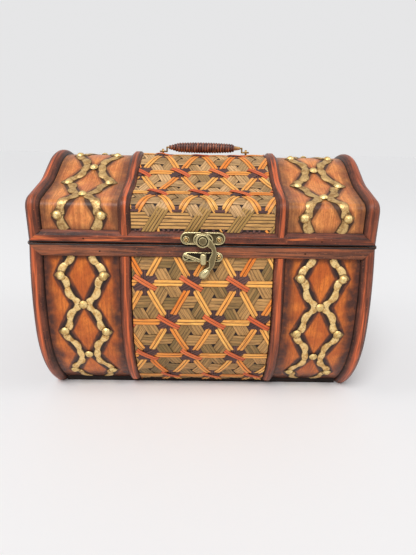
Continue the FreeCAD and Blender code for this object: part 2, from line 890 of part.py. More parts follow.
def wrap_path():
    """Quarter turn biarcs round the spindle, with a straight lead at each end."""
    bow = (handle_core_middle_diameter - handle_core_end_diameter) / 2
    reach = half_wrap - wrap_diameter

    def place(turn):
        share = turn / wrap_turns
        x = (2 * share - 1) * reach
        lie = handle_core_middle_diameter / 2 - bow * (x / half_wrap) ** 2
        radius = lie + wrap_seat_gap + wrap_diameter / 2
        angle = 2 * math.pi * turn
        return Vector(x, -radius * math.cos(angle), radius * math.sin(angle))

    step = 1 / 4
    probe = step / 1000
    knots = []
    for count in range(4 * wrap_turns + 1):
        turn = count * step
        way = (place(turn + probe) - place(turn - probe)).normalize()
        knots.append((place(turn), way))
    edges = [line(knots[0][0] - knots[0][1] * wrap_diameter, knots[0][0])]
    for (a, a_way), (b, b_way) in zip(knots, knots[1:]):
        edges += biarc(a, a_way, b, b_way)
    edges.append(line(knots[-1][0], knots[-1][0] + knots[-1][1] * wrap_diameter))
    return edges


def wrap_section(start, way):
    """The strand's section: flat sides round the path's start."""
    across = way.cross(Vector(0, start.y, start.z)).normalize()
    outward = across.cross(way)
    points = []
    for side in range(wrap_sides):
        angle = 2 * math.pi * side / wrap_sides
        points.append(start + (across * math.cos(angle) + outward * math.sin(angle)) * (wrap_diameter / 2))
    return Part.makePolygon(points + points[:1])


wrap_edges = wrap_path()
wrap_start = ends_of(wrap_edges)[0]
wrap_way = wrap_edges[0].tangentAt(wrap_edges[0].FirstParameter)
handle_wrap = Part.Wire(wrap_edges).makePipeShell([wrap_section(wrap_start, wrap_way)], True, False)
handle_wrap = moved(handle_wrap, grip_axis)


def least_gap(points, apart):
    """Least space between points of a winding that lie further apart than that along it."""
    gaps = [(a - b).Length for i, a in enumerate(points) for b in points[i + apart :]]
    return min(gaps) - wrap_diameter


points_per_turn = 16
wrap_points = Part.Wire(wrap_edges).discretize(points_per_turn * wrap_turns)
wrap_gap = least_gap(wrap_points, points_per_turn // 2)
print("wrapping: least gap to itself %.2f mm" % wrap_gap)

# Wire ends of the handle: each leaves a tip, cranks down and passes through its screw eye
wire_radius = handle_wire_diameter / 2
eye_out = handle_eye_place + handle_eye_width / 2 + handle_wire_tail
crank_way = [
    Vector(half_grip, 0, handle_crank),
    Vector(half_grip + handle_wire_bend, 0, handle_crank),
    Vector(half_grip + handle_wire_bend, 0, 0),
    Vector(eye_out, 0, 0),
]
handle_wire = None
for a, b in zip(crank_way, crank_way[1:]):
    run = Part.makeCylinder(wire_radius, (b - a).Length, a, b - a)
    run = run.fuse(Part.makeSphere(wire_radius, b)) if b != crank_way[-1] else run
    handle_wire = handle_wire.fuse(run) if handle_wire else run
handle_wire = moved(handle_wire.removeSplitter(), up * handle_pivot_height)

# Screw eyes on the crown that the handle's wires turn in
eye_low = Vector(handle_eye_place - handle_eye_width / 2, 0, handle_pivot_height)
handle_eye = Part.makeCylinder(handle_eye_diameter / 2, handle_eye_width, eye_low, along_x)
handle_eye = handle_eye.fuse(
    Part.makeCylinder(
        handle_shank_diameter / 2,
        handle_shank_length,
        Vector(handle_eye_place, 0, handle_pivot_height - handle_shank_length),
    )
)
handle_eye = handle_eye.cut(
    Part.makeCylinder(
        wire_radius + handle_wire_fit,
        handle_eye_width + overrun,
        eye_low - along_x * overrun / 2,
        along_x,
    )
)

# Every piece under its name, left and right being those of someone who stands before the chest
pieces = {
    "bottom_board": bottom_board,
    "base_front_board": base_board,
    "base_back_board": to_back(base_board),
    "base_left_end": to_left(base_end),
    "base_right_end": base_end,
    "base_front_rail": base_rail,
    "base_back_rail": to_back(base_rail),
    "base_front_weave": base_weave,
    "base_back_weave": to_back(base_weave),
    "lid_dome_board": lid_board,
    "lid_left_end": to_left(lid_end),
    "lid_right_end": lid_end,
    "lid_front_rail": lid_rail,
    "lid_back_rail": to_back(lid_rail),
    "lid_left_rim": to_left(lid_rim),
    "lid_right_rim": lid_rim,
    "lid_left_batten": to_left(lid_batten),
    "lid_right_batten": lid_batten,
    "lid_weave": lid_weave,
    "lid_left_panel": to_left(lid_panel),
    "lid_right_panel": lid_panel,
    "keeper_plate": on_front(keeper_plate, keeper_seat, keeper_out),
    "latch_plate": on_front(latch_plate, pivot, outwards),
    "latch_rivet": on_front(latch_rivet, pivot, outwards),
    "latch_hook": on_front(hook, pivot, outwards),
    "handle_core": handle_core,
    "handle_wrap": handle_wrap,
    "handle_left_wire": to_left(handle_wire),
    "handle_right_wire": handle_wire,
    "handle_left_eye": to_left(handle_eye),
    "handle_right_eye": handle_eye,
}
lid_straps = Part.makeCompound([lid_strap, across_panel(lid_strap)])
pieces["lid_left_straps"] = to_left(lid_straps)
pieces["lid_right_straps"] = lid_straps
pieces["lid_tacks"] = Part.makeCompound(lid_tacks + [to_left(tack) for tack in lid_tacks])
base_straps = Part.makeCompound([base_strap, across_panel(base_strap)])
all_base_tacks = []
for depth, turn_depth in (("front", lambda shape: shape), ("back", to_back)):
    for side, turn_side in (("left", to_left), ("right", lambda shape: shape)):
        corner = "base_%s_%s_" % (depth, side)
        pieces[corner + "rim"] = turn_depth(turn_side(base_rim))
        pieces[corner + "batten"] = turn_depth(turn_side(base_batten))
        pieces[corner + "panel"] = turn_depth(turn_side(base_panel))
        pieces[corner + "straps"] = turn_depth(turn_side(base_straps))
        all_base_tacks += [turn_depth(turn_side(tack)) for tack in base_tacks]
pieces["base_tacks"] = Part.makeCompound(all_base_tacks)
for side, place in (("left", -hinge_place), ("right", hinge_place)):
    pieces["%s_hinge_base_leaf" % side] = moved(base_leaf, along_x * place)
    pieces["%s_hinge_lid_leaf" % side] = moved(lid_leaf, along_x * place)
    pieces["%s_hinge_pin" % side] = moved(hinge_pin, along_x * place)
lone_screws = {
    "base": [on_front(keeper_screw, keeper_seat, keeper_out)],
    "lid": [on_front(shape, pivot, outwards) for shape in latch_screws],
}
for name, screws in hinge_screws.items():
    places = (-hinge_place, hinge_place)
    pairs = [moved(shape, along_x * place) for place in places for shape in screws]
    pieces[name + "_screws"] = Part.makeCompound(pairs + lone_screws[name])

os.makedirs("parts", exist_ok=True)
for name, shape in pieces.items():
    if not shape.isValid():
        print("not valid:", name)
    shape.exportStep("parts/%s.step" % name)
print(len(pieces), "pieces")
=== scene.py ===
import math
import random

import bpy
from mathutils import Matrix, Vector


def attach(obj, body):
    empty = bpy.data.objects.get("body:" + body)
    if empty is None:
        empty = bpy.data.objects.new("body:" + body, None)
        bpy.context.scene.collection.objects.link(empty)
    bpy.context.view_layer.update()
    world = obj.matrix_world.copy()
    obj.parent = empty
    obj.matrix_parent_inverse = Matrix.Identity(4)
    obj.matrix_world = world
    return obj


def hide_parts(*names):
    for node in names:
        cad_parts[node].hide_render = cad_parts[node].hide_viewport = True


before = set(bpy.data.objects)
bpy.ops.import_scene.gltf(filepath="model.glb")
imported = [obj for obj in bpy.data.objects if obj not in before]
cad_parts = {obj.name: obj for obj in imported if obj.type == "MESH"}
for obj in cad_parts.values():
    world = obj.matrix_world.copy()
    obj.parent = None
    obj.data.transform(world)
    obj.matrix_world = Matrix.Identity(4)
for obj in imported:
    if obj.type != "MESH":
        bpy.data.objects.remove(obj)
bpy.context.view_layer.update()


# Carcass: thin boards bent or sawn to the section of the chest and glued to flat ends.
# Plain softwood stained dark brown, left without a gloss inside; the bottom board is made near
# black as painted shade.

def colour(red, green, blue):
    """A colour written as it looks on a screen, 0 to 255, as the shader wants it."""
    def linear(level):
        level /= 255
        return level / 12.92 if level <= 0.04045 else ((level + 0.055) / 1.055) ** 2.4
    return (linear(red), linear(green), linear(blue), 1)


def put(tree, kind, **values):
    """A new node; each value goes to the node's own setting or to its input of that name."""
    new = tree.nodes.new(kind)
    for name, value in values.items():
        if name in new.inputs and not hasattr(new, name):
            new.inputs[name].default_value = value
        else:
            setattr(new, name, value)
    return new


def feed(tree, socket, value):
    """Links a socket to another, or sets a plain value on it."""
    if isinstance(value, bpy.types.NodeSocket):
        tree.links.new(value, socket)
    else:
        socket.default_value = value


def calc(tree, operation, *values, clamp=False):
    """The output of a Math node on numbers or sockets."""
    new = put(tree, "ShaderNodeMath", operation=operation, use_clamp=clamp)
    for socket, value in zip(new.inputs, values):
        feed(tree, socket, value)
    return new.outputs[0]


def fade(tree, value, start, end):
    """0 up to start, 1 from end on, eased between them."""
    new = put(tree, "ShaderNodeMapRange", interpolation_type="SMOOTHSTEP")
    feed(tree, new.inputs["Value"], value)
    new.inputs["From Min"].default_value = start
    new.inputs["From Max"].default_value = end
    return new.outputs["Result"]


def spread(tree, value, low, high):
    """A mask stretched to run from low to high."""
    new = put(tree, "ShaderNodeMapRange")
    feed(tree, new.inputs["Value"], value)
    new.inputs["To Min"].default_value = low
    new.inputs["To Max"].default_value = high
    return new.outputs["Result"]


def tint(tree, mask, under, over, amount=None):
    """Colour under, covered by colour over where the mask is 1, by no more than the amount.

    Each colour is a socket, or red, green and blue as they look on a screen."""
    new = put(tree, "ShaderNodeMix", data_type="RGBA")
    if amount is not None:
        mask = calc(tree, "MULTIPLY", mask, amount)
    feed(tree, new.inputs["Factor"], mask)
    for socket, paint in ((new.inputs[6], under), (new.inputs[7], over)):
        feed(tree, socket, colour(*paint) if isinstance(paint, tuple) else paint)
    return new.outputs[2]


def noise(tree, place, scale, detail=4.0, roughness=0.55, distortion=0.0):
    """Cloudy noise, with features about one over the scale wide."""
    new = put(
        tree, "ShaderNodeTexNoise",
        Scale=scale, Detail=detail, Roughness=roughness, Distortion=distortion,
    )
    feed(tree, new.inputs["Vector"], place)
    return new.outputs["Fac"]


def in_mm(tree):
    """Place on the chest in millimetres."""
    where = put(tree, "ShaderNodeTexCoord")
    scaled = put(tree, "ShaderNodeVectorMath", operation="SCALE", Scale=1000.0)
    tree.links.new(where.outputs["Object"], scaled.inputs[0])
    return scaled.outputs[0]


def finish(name, **settings):
    """A new material; settings are the shader's own plain values."""
    made = bpy.data.materials.new(name)
    made.use_nodes = True
    shader = made.node_tree.nodes["Principled BSDF"]
    for socket, value in settings.items():
        shader.inputs[socket.replace("_", " ")].default_value = value
    return made, made.node_tree, shader


def surface(tree, shader, paint, rough=None, relief=None, depth=0.0):
    """Links a finish's colour and, where it has them, its roughness and its fine relief."""
    tree.links.new(paint, shader.inputs["Base Color"])
    if rough is not None:
        tree.links.new(rough, shader.inputs["Roughness"])
    if relief is not None:
        bump = put(tree, "ShaderNodeBump", Strength=1.0, Distance=depth)
        tree.links.new(relief, bump.inputs["Height"])
        tree.links.new(bump.outputs["Normal"], shader.inputs["Normal"])


def coat_nodes(made, *names):
    """Gives CAD nodes a finish."""
    for name in names:
        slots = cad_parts[name].data.materials
        slots.clear()
        slots.append(made)


def mask_group(name, kind, inputs, outputs):
    """A new node group with these sockets, and the sockets at its two ends."""
    group = bpy.data.node_groups.new(name, "ShaderNodeTree")
    for socket in inputs:
        group.interface.new_socket(socket, in_out="INPUT", socket_type=kind)
    for socket in outputs:
        group.interface.new_socket(socket, in_out="OUTPUT", socket_type="NodeSocketFloat")
    return group, put(group, "NodeGroupInput").outputs, put(group, "NodeGroupOutput").inputs


grain_masks = ("Streak", "Mottle", "Fibre")
wood_grain, given, gives = mask_group(
    "wood_grain", "NodeSocketVector", ("Place", "Run"), grain_masks
)
along_grain = put(wood_grain, "ShaderNodeVectorMath", operation="MULTIPLY")
wood_grain.links.new(given["Place"], along_grain.inputs[0])
wood_grain.links.new(given["Run"], along_grain.inputs[1])
streak = noise(wood_grain, along_grain.outputs[0], 0.55, 5.0, 0.62, 0.6)
mottle = noise(wood_grain, given["Place"], 0.055, 3.0, 0.6)
fibre = noise(wood_grain, along_grain.outputs[0], 2.4, 3.0, 0.6, 0.2)
wood_grain.links.new(fade(wood_grain, streak, 0.38, 0.68), gives["Streak"])
wood_grain.links.new(fade(wood_grain, mottle, 0.36, 0.66), gives["Mottle"])
wood_grain.links.new(fibre, gives["Fibre"])


def grain(tree, place, run):
    """Streak, mottle and fibre of wood whose grain runs where run is small."""
    new = put(tree, "ShaderNodeGroup", node_tree=wood_grain)
    tree.links.new(place, new.inputs["Place"])
    new.inputs["Run"].default_value = run
    return [new.outputs[mask] for mask in grain_masks]


def board_finish(name, run, pale, deep, dark):
    made, tree, shader = finish(name, Roughness=0.6, Specular_IOR_Level=0.3)
    streaks, mottling, fibres = grain(tree, in_mm(tree), run)
    stain = tint(tree, mottling, deep, pale)
    stain = tint(tree, streaks, stain, dark, 0.6)
    surface(tree, shader, stain, spread(tree, fibres, 0.5, 0.75), fibres, 0.0002)
    return made


upright, lengthwise = (1, 1, 0.05), (0.05, 1, 1)
walnut = (122, 72, 46), (92, 52, 36), (58, 33, 25)
# The bottom board is near black as painted shade, since it lies in shadow under the chest.
bottom_shade_tones = (46, 30, 24), (30, 20, 17), (18, 12, 11)
up_board = board_finish("stained_board_upright", upright, *walnut)
long_board = board_finish("stained_board_lengthwise", lengthwise, *walnut)
shaded_bottom_board = board_finish("shade_painted_bottom_board", lengthwise, *bottom_shade_tones)
coat_nodes(shaded_bottom_board, "bottom_board")
coat_nodes(long_board, "base_front_board", "base_back_board", "lid_dome_board")
coat_nodes(up_board, "base_left_end", "base_right_end", "lid_left_end", "lid_right_end")


# Mouldings: half-round rims, rails and battens of a close hardwood, pinned over the joints.
# Mahogany stain rubbed through to red on the crests, with painted shade, nearly black, where the
# mouldings meet the boards and along the lid's joint.

def stretched(tree, place, run):
    """Place drawn out where run is small."""
    new = put(tree, "ShaderNodeVectorMath", operation="MULTIPLY")
    tree.links.new(place, new.inputs[0])
    new.inputs[1].default_value = run
    return new.outputs[0]


def xyz(tree, vector):
    """The three parts of a place or a direction, by name."""
    new = put(tree, "ShaderNodeSeparateXYZ")
    tree.links.new(vector, new.inputs[0])
    return new.outputs


def moulding_finish(name, run, ground, worn, crest, painted_shade_mask, scuffed):
    """crest gives where hands rub the stain off; the shade mask gives painted shade, nearly black.
    """
    made, tree, shader = finish(
        name, Roughness=0.4, Specular_IOR_Level=0.3, Coat_Weight=0.06, Coat_Roughness=0.2
    )
    place = in_mm(tree)
    drawn_out = stretched(tree, place, run)
    streaks, mottling, fibres = grain(tree, place, run)
    normal = xyz(tree, put(tree, "ShaderNodeTexCoord").outputs["Normal"])
    crests = crest(tree, normal)
    patchy = fade(tree, noise(tree, drawn_out, 0.16, 4.0, 0.6), 0.42, 0.58)
    rubbed = calc(tree, "MULTIPLY", crests, spread(tree, patchy, 0.15, 1.1), clamp=True)
    stain = tint(tree, mottling, *ground)
    stain = tint(tree, rubbed, stain, worn)
    stain = tint(tree, streaks, stain, (38, 22, 19), 0.75)
    scuffs = fade(tree, noise(tree, drawn_out, 0.34, 2.0, 0.5), 0.56, 0.66)
    scuffs = calc(tree, "MULTIPLY", scuffs, crests)
    stain = tint(tree, scuffs, stain, (240, 126, 66), scuffed)
    specks = fade(tree, noise(tree, place, 0.5, 3.0, 0.65), 0.6, 0.72)
    stain = tint(tree, specks, stain, (196, 116, 72), 0.5)
    # Painted shade: nearly black where the half-rounds meet the boards and along the joint of lid
    # and base.
    stain = tint(tree, painted_shade_mask(tree, xyz(tree, place), normal), stain, (16, 10, 9))
    relief = calc(tree, "ADD", fibres, calc(tree, "MULTIPLY", streaks, -0.6))
    surface(tree, shader, stain, spread(tree, fibres, 0.3, 0.55), relief, 0.00025)
    return made


batten_limit = 100.0
joint_line, joint_reach = 166.9, (2.5, 1.5)


def rim_crest(tree, normal):
    return fade(tree, calc(tree, "ABSOLUTE", normal["X"]), 0.72, 0.12)


def rim_corner_shade(tree, spot, normal):
    """Painted shade where a half-round meets a board.

    On a batten that is both of its sides, and on a rim its inner side."""
    inwards = calc(tree, "MULTIPLY", normal["X"], calc(tree, "SIGN", spot["X"]))
    inwards = calc(tree, "MULTIPLY", inwards, -1.0)
    batten = calc(tree, "LESS_THAN", calc(tree, "ABSOLUTE", spot["X"]), batten_limit)
    either_side = calc(tree, "MULTIPLY", calc(tree, "ABSOLUTE", normal["X"]), batten)
    return fade(tree, calc(tree, "MAXIMUM", inwards, either_side), 0.78, 0.97)


def rail_crest(tree, normal):
    rounded = fade(tree, calc(tree, "ABSOLUTE", normal["Z"]), 0.2, 0.5)
    return calc(tree, "MAXIMUM", calc(tree, "MULTIPLY", rounded, 0.6), 0.4)


def lid_rail_crest(tree, normal):
    """The bevel along the top of the lid's rail keeps its stain."""
    level = calc(tree, "ABSOLUTE", normal["Z"])
    return spread(tree, fade(tree, level, 0.6, 0.25), 0.15, 0.8)


def rail_joint_shade(tree, spot, normal):
    """Painted shade along the joint between the lid and the base, where the gap between them is in
    shadow.
    """
    apart = calc(tree, "ABSOLUTE", calc(tree, "SUBTRACT", spot["Z"], joint_line))
    flat = fade(tree, calc(tree, "ABSOLUTE", normal["Z"]), 0.6, 0.9)
    outside = calc(tree, "SUBTRACT", 1.0, calc(tree, "MULTIPLY", flat, 0.35))
    return calc(tree, "MULTIPLY", fade(tree, apart, *joint_reach), outside)


rim_wood = moulding_finish(
    "rubbed_mahogany_rim", (1, 0.04, 0.04), ((80, 43, 32), (120, 66, 46)), (224, 108, 60),
    rim_crest, rim_corner_shade, scuffed=0.2,
)
base_rail_wood = moulding_finish(
    "brown_mahogany_rail", (0.05, 1, 1), ((80, 44, 32), (124, 68, 46)), (192, 112, 70),
    rail_crest, rail_joint_shade, scuffed=0.55,
)
lid_rail_wood = moulding_finish(
    "black_mahogany_rail", (0.06, 1, 1), ((38, 23, 20), (80, 46, 36)), (236, 112, 62),
    lid_rail_crest, rail_joint_shade, scuffed=0.9,
)
sides, faces = ("left", "right"), ("front", "back")
for piece in ("rim", "batten"):
    for side in sides:
        coat_nodes(rim_wood, f"lid_{side}_{piece}")
        coat_nodes(rim_wood, *[f"base_{face}_{side}_{piece}" for face in faces])
coat_nodes(base_rail_wood, *[f"base_{face}_rail" for face in faces])
coat_nodes(lid_rail_wood, *[f"lid_{face}_rail" for face in faces])


# Panels: thin veneered boards let in between the mouldings, stained orange-tan, grain upright.
# The stain is burnished almost black along the metal straps and towards the mouldings. The base
# panels are also darkened under the rail and at the foot as painted shade.

panel_middle, panel_half = 115.55, 35.9
strap_outer, strap_inner = 20.4, 6.0
base_tack_heights = (163.8, 135.2, 106.6, 77.9, 49.3, 23.3)
base_pitch, foot_pitch = 57.3, 52
lid_pitch, lid_first_tack = 54.5, 12
base_top_shade, base_foot_shade, lid_end_dark = (148.0, 157.0), (26.0, 8.0), (124.0, 136.0)

strap_shade, given, gives = mask_group(
    "beside_the_straps", "NodeSocketFloat", ("Across", "Turn"), ("Beside",)
)
wave = calc(strap_shade, "FRACT", given["Turn"])
wave = calc(strap_shade, "ABSOLUTE", calc(strap_shade, "SUBTRACT", wave, 0.5))
strap_at = calc(
    strap_shade, "MULTIPLY_ADD", wave, 2 * (strap_outer - strap_inner), strap_inner
)
off_middle = calc(strap_shade, "ABSOLUTE", given["Across"])
off_strap = calc(strap_shade, "SUBTRACT", off_middle, strap_at)
strap_shade.links.new(calc(strap_shade, "ABSOLUTE", off_strap), gives["Beside"])


def base_turn(tree, place):
    """Turns of the strap's zigzag down the base, 0 at the first outer tacks, and its ends, darkened
    as painted shade.
    """
    height = xyz(tree, place)["Z"]
    turn = calc(
        tree, "MULTIPLY_ADD", height, -1 / base_pitch, base_tack_heights[1] / base_pitch
    )
    low = calc(tree, "SUBTRACT", base_tack_heights[4], height)
    low = calc(tree, "MAXIMUM", low, 0.0)
    turn = calc(tree, "MULTIPLY_ADD", low, 1 / foot_pitch - 1 / base_pitch, turn)
    top, foot = fade(tree, height, *base_top_shade), fade(tree, height, *base_foot_shade)
    return turn, calc(tree, "MAXIMUM", top, foot)


def lid_turn(tree, place):
    """Turns of the strap's zigzag over the dome, 0 just in front of the crown, and its dark ends.

    The walk down the dome is near enough its reach outwards, then its drop below the shoulder."""
    shoulder_out, shoulder_height, shoulder_drop = 94.0, 206.4, 8.6
    steep_from, steep_span = 30.9, 20.6
    spot = xyz(tree, place)
    out = calc(tree, "MINIMUM", calc(tree, "ABSOLUTE", spot["Y"]), shoulder_out)
    steep = calc(tree, "SUBTRACT", out, steep_from)
    steep = calc(tree, "MINIMUM", calc(tree, "MAXIMUM", steep, 0.0), steep_span)
    down = calc(tree, "SUBTRACT", shoulder_height, spot["Z"])
    down = calc(tree, "MAXIMUM", down, 0.0)
    bend = calc(tree, "MINIMUM", down, shoulder_drop)
    walk = calc(tree, "MULTIPLY_ADD", out, 1.055, calc(tree, "MULTIPLY", steep, 0.117))
    walk = calc(tree, "ADD", walk, calc(tree, "MULTIPLY_ADD", bend, 0.33, down))
    front = calc(tree, "SIGN", calc(tree, "MULTIPLY", spot["Y"], -1.0))
    turn = calc(tree, "SUBTRACT", calc(tree, "MULTIPLY", walk, front), lid_first_tack)
    return calc(tree, "DIVIDE", turn, lid_pitch), fade(tree, walk, *lid_end_dark)


def panel_finish(name, turn_of, pale, deep, strap_reach, halo_depth, border_depth):
    """strap_reach is from the middle of a strap to its edge, where the burnished line begins."""
    made, tree, shader = finish(
        name, Roughness=0.4, Specular_IOR_Level=0.3, Coat_Weight=0.08, Coat_Roughness=0.25
    )
    place = in_mm(tree)
    streaks, mottling, fibres = grain(tree, place, (1, 0.045, 0.045))
    across = calc(tree, "ABSOLUTE", xyz(tree, place)["X"])
    across = calc(tree, "SUBTRACT", across, panel_middle)
    turn, ends = turn_of(tree, place)
    shade = put(tree, "ShaderNodeGroup", node_tree=strap_shade)
    tree.links.new(across, shade.inputs["Across"])
    tree.links.new(turn, shade.inputs["Turn"])
    beside = shade.outputs["Beside"]
    wander = spread(tree, noise(tree, place, 0.05, 3.0), -9.0, 9.0)
    aside = calc(tree, "ADD", calc(tree, "ABSOLUTE", across), wander)
    border = fade(tree, aside, panel_half - 14, panel_half - 2)
    halo = fade(tree, beside, strap_reach + 5, strap_reach + 2.4)
    dark = calc(
        tree, "MAXIMUM",
        calc(tree, "MULTIPLY", halo, halo_depth), calc(tree, "MULTIPLY", border, border_depth),
    )
    # The ends: painted shade at the top and foot of the base panel; on the lid, darker towards the
    # rails.
    dark = calc(tree, "MAXIMUM", dark, ends)
    rough_edge = fade(tree, noise(tree, place, 0.16, 3.0), 0.3, 0.6)
    dark = calc(tree, "MULTIPLY", dark, spread(tree, rough_edge, 0.75, 1.0))
    stain = tint(tree, mottling, deep, pale)
    stain = tint(tree, streaks, stain, (142, 66, 26), 0.5)
    pores = noise(tree, stretched(tree, place, (1, 0.4, 0.4)), 1.1, 3.0, 0.7)
    stain = tint(tree, fade(tree, pores, 0.5, 0.7), stain, (110, 48, 22), 0.45)
    stain = tint(tree, dark, stain, (74, 40, 30))
    line = fade(tree, beside, strap_reach + 2, strap_reach)
    stain = tint(tree, line, stain, (30, 18, 17), 0.85)
    relief = calc(tree, "ADD", fibres, calc(tree, "MULTIPLY", streaks, -0.5))
    surface(tree, shader, stain, spread(tree, fibres, 0.3, 0.5), relief, 0.0002)
    return made


base_panel_stain = panel_finish(
    "burnished_base_panel", base_turn, (226, 124, 48), (192, 94, 36),
    strap_reach=4.6, halo_depth=1.0, border_depth=1.0,
)
lid_panel_stain = panel_finish(
    "burnished_lid_panel", lid_turn, (246, 160, 88), (214, 124, 68),
    strap_reach=5.4, halo_depth=0.55, border_depth=0.75,
)
for side in sides:
    coat_nodes(lid_panel_stain, f"lid_{side}_panel")
    coat_nodes(base_panel_stain, *[f"base_{face}_{side}_panel" for face in faces])


# Woven panels: a close three-way plait of split bamboo, woven flat, dyed and bent over the carcass.
# Pairs of golden cane run over it between stars, and each star is tied by dark and red splints.
# The plait is glued to a near-black sheet: painted shade that shows in the gaps.

mm = 0.001
random.seed(7)
weave_half = 67.3

# Painted shade: the sheet under the plait is near black so that the gaps between strips read dark.
gap_shade_sheet, tree, shader = finish("weave_gap_shade", Roughness=0.75)
threads = noise(tree, stretched(tree, in_mm(tree), (1, 0.1, 0.1)), 0.9, 3.0)
dye = tint(tree, threads, (22, 14, 13), (52, 32, 30))
surface(tree, shader, dye, relief=threads, depth=0.0004)
coat_nodes(gap_shade_sheet, "base_front_weave", "base_back_weave", "lid_weave")

# The face of the plait on the dome, from the crown down: radius and turn, or a straight length
face_inset = 4.2
lid_runs = (
    (65.04 - face_inset, math.radians(31)),
    (24.0, 0),
    (59.98 + face_inset, math.radians(-14)),
    (31.56, 0),
    (13.97 - face_inset, math.radians(73)),
    (30.5, 0),
)
crown_height = 248.0 - face_inset
pressed_flat, grip_half, grip_reach = 0.42, 48, 20


def held(value):
    """A value kept between 0 and 1."""
    return min(max(value, 0), 1)


def eased(value):
    value = held(value)
    return value * value * (3 - 2 * value)


def on_dome(x, s, lift):
    """A point of the dome: s down from the crown, to the front if positive, lift above its face.

    Strips under the grip are pressed flatter, so that it clears them as it swings."""
    y, z, slope = 0.0, crown_height, 0.0
    left = abs(s)
    for size, turn in lid_runs:
        length = size * abs(turn) if turn else size
        part = min(left, length)
        if turn:
            bend = math.copysign(part / size, turn)
            hub = math.copysign(size, turn)
            y += hub * (math.sin(slope + bend) - math.sin(slope))
            z -= hub * (math.cos(slope) - math.cos(slope + bend))
            slope += bend
        else:
            y += part * math.cos(slope)
            z -= part * math.sin(slope)
        left -= part
    under_grip = eased((grip_half - abs(x)) / 10) * eased((grip_reach - abs(s)) / 12)
    lift *= 1 - pressed_flat * under_grip
    y += lift * math.sin(slope)
    z += lift * math.cos(slope)
    return Vector((x, -math.copysign(y, s), z)) * mm


belly_radius, foot_radius, belly_turn = 313.0, 109.0, math.asin(10 / 313)
belly_centre, foot_centre = (196.0, 90.0), (-7.9, 83.5)
joint_height = 166.5


def on_front(x, s, lift):
    """A point of the base's front: s down from the joint, lift out of the face of the plait."""
    radius = belly_radius - face_inset
    angle = math.asin((joint_height - belly_centre[1]) / radius) - s / radius
    centre = belly_centre
    if angle < -belly_turn:
        over = (-belly_turn - angle) * radius
        radius = foot_radius - face_inset
        angle = -belly_turn - over / radius
        centre = foot_centre
    radius += lift
    y = centre[0] - radius * math.cos(angle)
    z = centre[1] + radius * math.sin(angle)
    return Vector((x, y, z)) * mm


def on_back(x, s, lift):
    point = on_front(x, s, lift)
    return Vector((-point.x, -point.y, point.z))


def pick(*pieces):
    """Selects these pieces alone, with the first as the active one."""
    bpy.ops.object.select_all(action="DESELECT")
    for piece in pieces:
        piece.select_set(True)
    bpy.context.view_layer.objects.active = pieces[0]


def new_piece(name, mesh):
    piece = bpy.data.objects.new(name, mesh)
    bpy.context.collection.objects.link(piece)
    pick(piece)
    return piece


def face_outwards():
    """Turns all faces of the piece in edit mode outwards, and leaves edit mode."""
    bpy.ops.mesh.select_all(action="SELECT")
    bpy.ops.mesh.normals_make_consistent(inside=False)
    bpy.ops.object.mode_set(mode="OBJECT")


def set_on(piece, smooth, made, body, slot, *nodes):
    """Finishes a piece and fixes it to a body, in place of these CAD nodes."""
    bpy.ops.object.shade_smooth_by_angle(angle=math.radians(smooth))
    piece.data.materials.append(made)
    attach(piece, body)
    if nodes:
        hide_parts(*nodes)


def strip_blank(name, pieces_long, pieces_wide=2):
    """A flat slab one unit long, wide and thick, cut into pieces, from which strips are copied."""
    bpy.ops.object.select_all(action="DESELECT")
    bpy.ops.mesh.primitive_grid_add(
        x_subdivisions=pieces_long, y_subdivisions=pieces_wide, size=1, location=(0.5, 0, 0)
    )
    blank = bpy.context.object
    blank.name = name
    bpy.ops.object.transform_apply(location=True, rotation=True, scale=True)
    bpy.ops.object.mode_set(mode="EDIT")
    bpy.ops.mesh.select_all(action="SELECT")
    bpy.ops.mesh.extrude_region_move(TRANSFORM_OT_translate={"value": (0, 0, 1)})
    face_outwards()
    points = [vert.co.copy() for vert in blank.data.vertices]
    corners = [tuple(poly.vertices) for poly in blank.data.polygons]
    bpy.data.objects.remove(blank, do_unlink=True)
    return points, corners


class Mat:
    """Strips laid flat on a bench: across, up and lift in millimetres, with grain and shade."""

    def __init__(self):
        self.points, self.faces, self.grains, self.shades, self.edges = [], [], [], [], []

    def lay(self, blank, place, length, shade, outline=None):
        """A copy of a blank, each point put where place says.

        outline gives how near an edge a point is."""
        points, corners = blank
        first = len(self.points)
        start = random.uniform(0, 500)
        for point in points:
            self.points.append(place(point.x, point.y, point.z))
            self.grains.append((start + point.x * length, start * 0.37 + point.y))
            self.shades.append(shade)
            self.edges.append(outline(point.x, point.y) if outline else abs(2 * point.y))
        self.faces += [tuple(first + corner for corner in face) for face in corners]

    def bent(self, name, bend, made, body, slot, cuts, *nodes):
        """The strips as one mesh, cut along flat planes, bent over the chest and fixed."""
        mesh = bpy.data.meshes.new(name)
        mesh.from_pydata(self.points, [], self.faces)
        grain_map = mesh.uv_layers.new(name="grain")
        for loop in mesh.loops:
            grain_map.data[loop.index].uv = self.grains[loop.vertex_index]
        for mask, values in (("shade", self.shades), ("edge", self.edges)):
            mesh.attributes.new(mask, "FLOAT", "POINT").data.foreach_set("value", values)
        piece = new_piece(name, mesh)
        bpy.ops.object.mode_set(mode="EDIT")
        for spot, outside in cuts:
            bpy.ops.mesh.select_all(action="SELECT")
            bpy.ops.mesh.bisect(plane_co=spot, plane_no=outside, clear_outer=True)
            bpy.ops.mesh.select_all(action="SELECT")
            bpy.ops.mesh.fill_holes(sides=0)
        face_outwards()
        for vert in mesh.vertices:
            vert.co = bend(vert.co.x, -vert.co.y, vert.co.z)
        set_on(piece, 40, made, body, slot, *nodes)

    def trimmed(self, name, low, high, bend, made, body):
        """The mat cut to the panel's opening, then bent over the chest and glued down."""
        cuts = (
            ((weave_half, 0, 0), (1, 0, 0)), ((-weave_half, 0, 0), (-1, 0, 0)),
            ((0, -low, 0), (0, 1, 0)), ((0, -high, 0), (0, -1, 0)),
        )
        self.bent(name, bend, made, body, "woven_bamboo", cuts)


def own_mask(tree, name):
    """A value that each point of the mesh carries."""
    return put(tree, "ShaderNodeAttribute", attribute_name=name).outputs["Fac"]


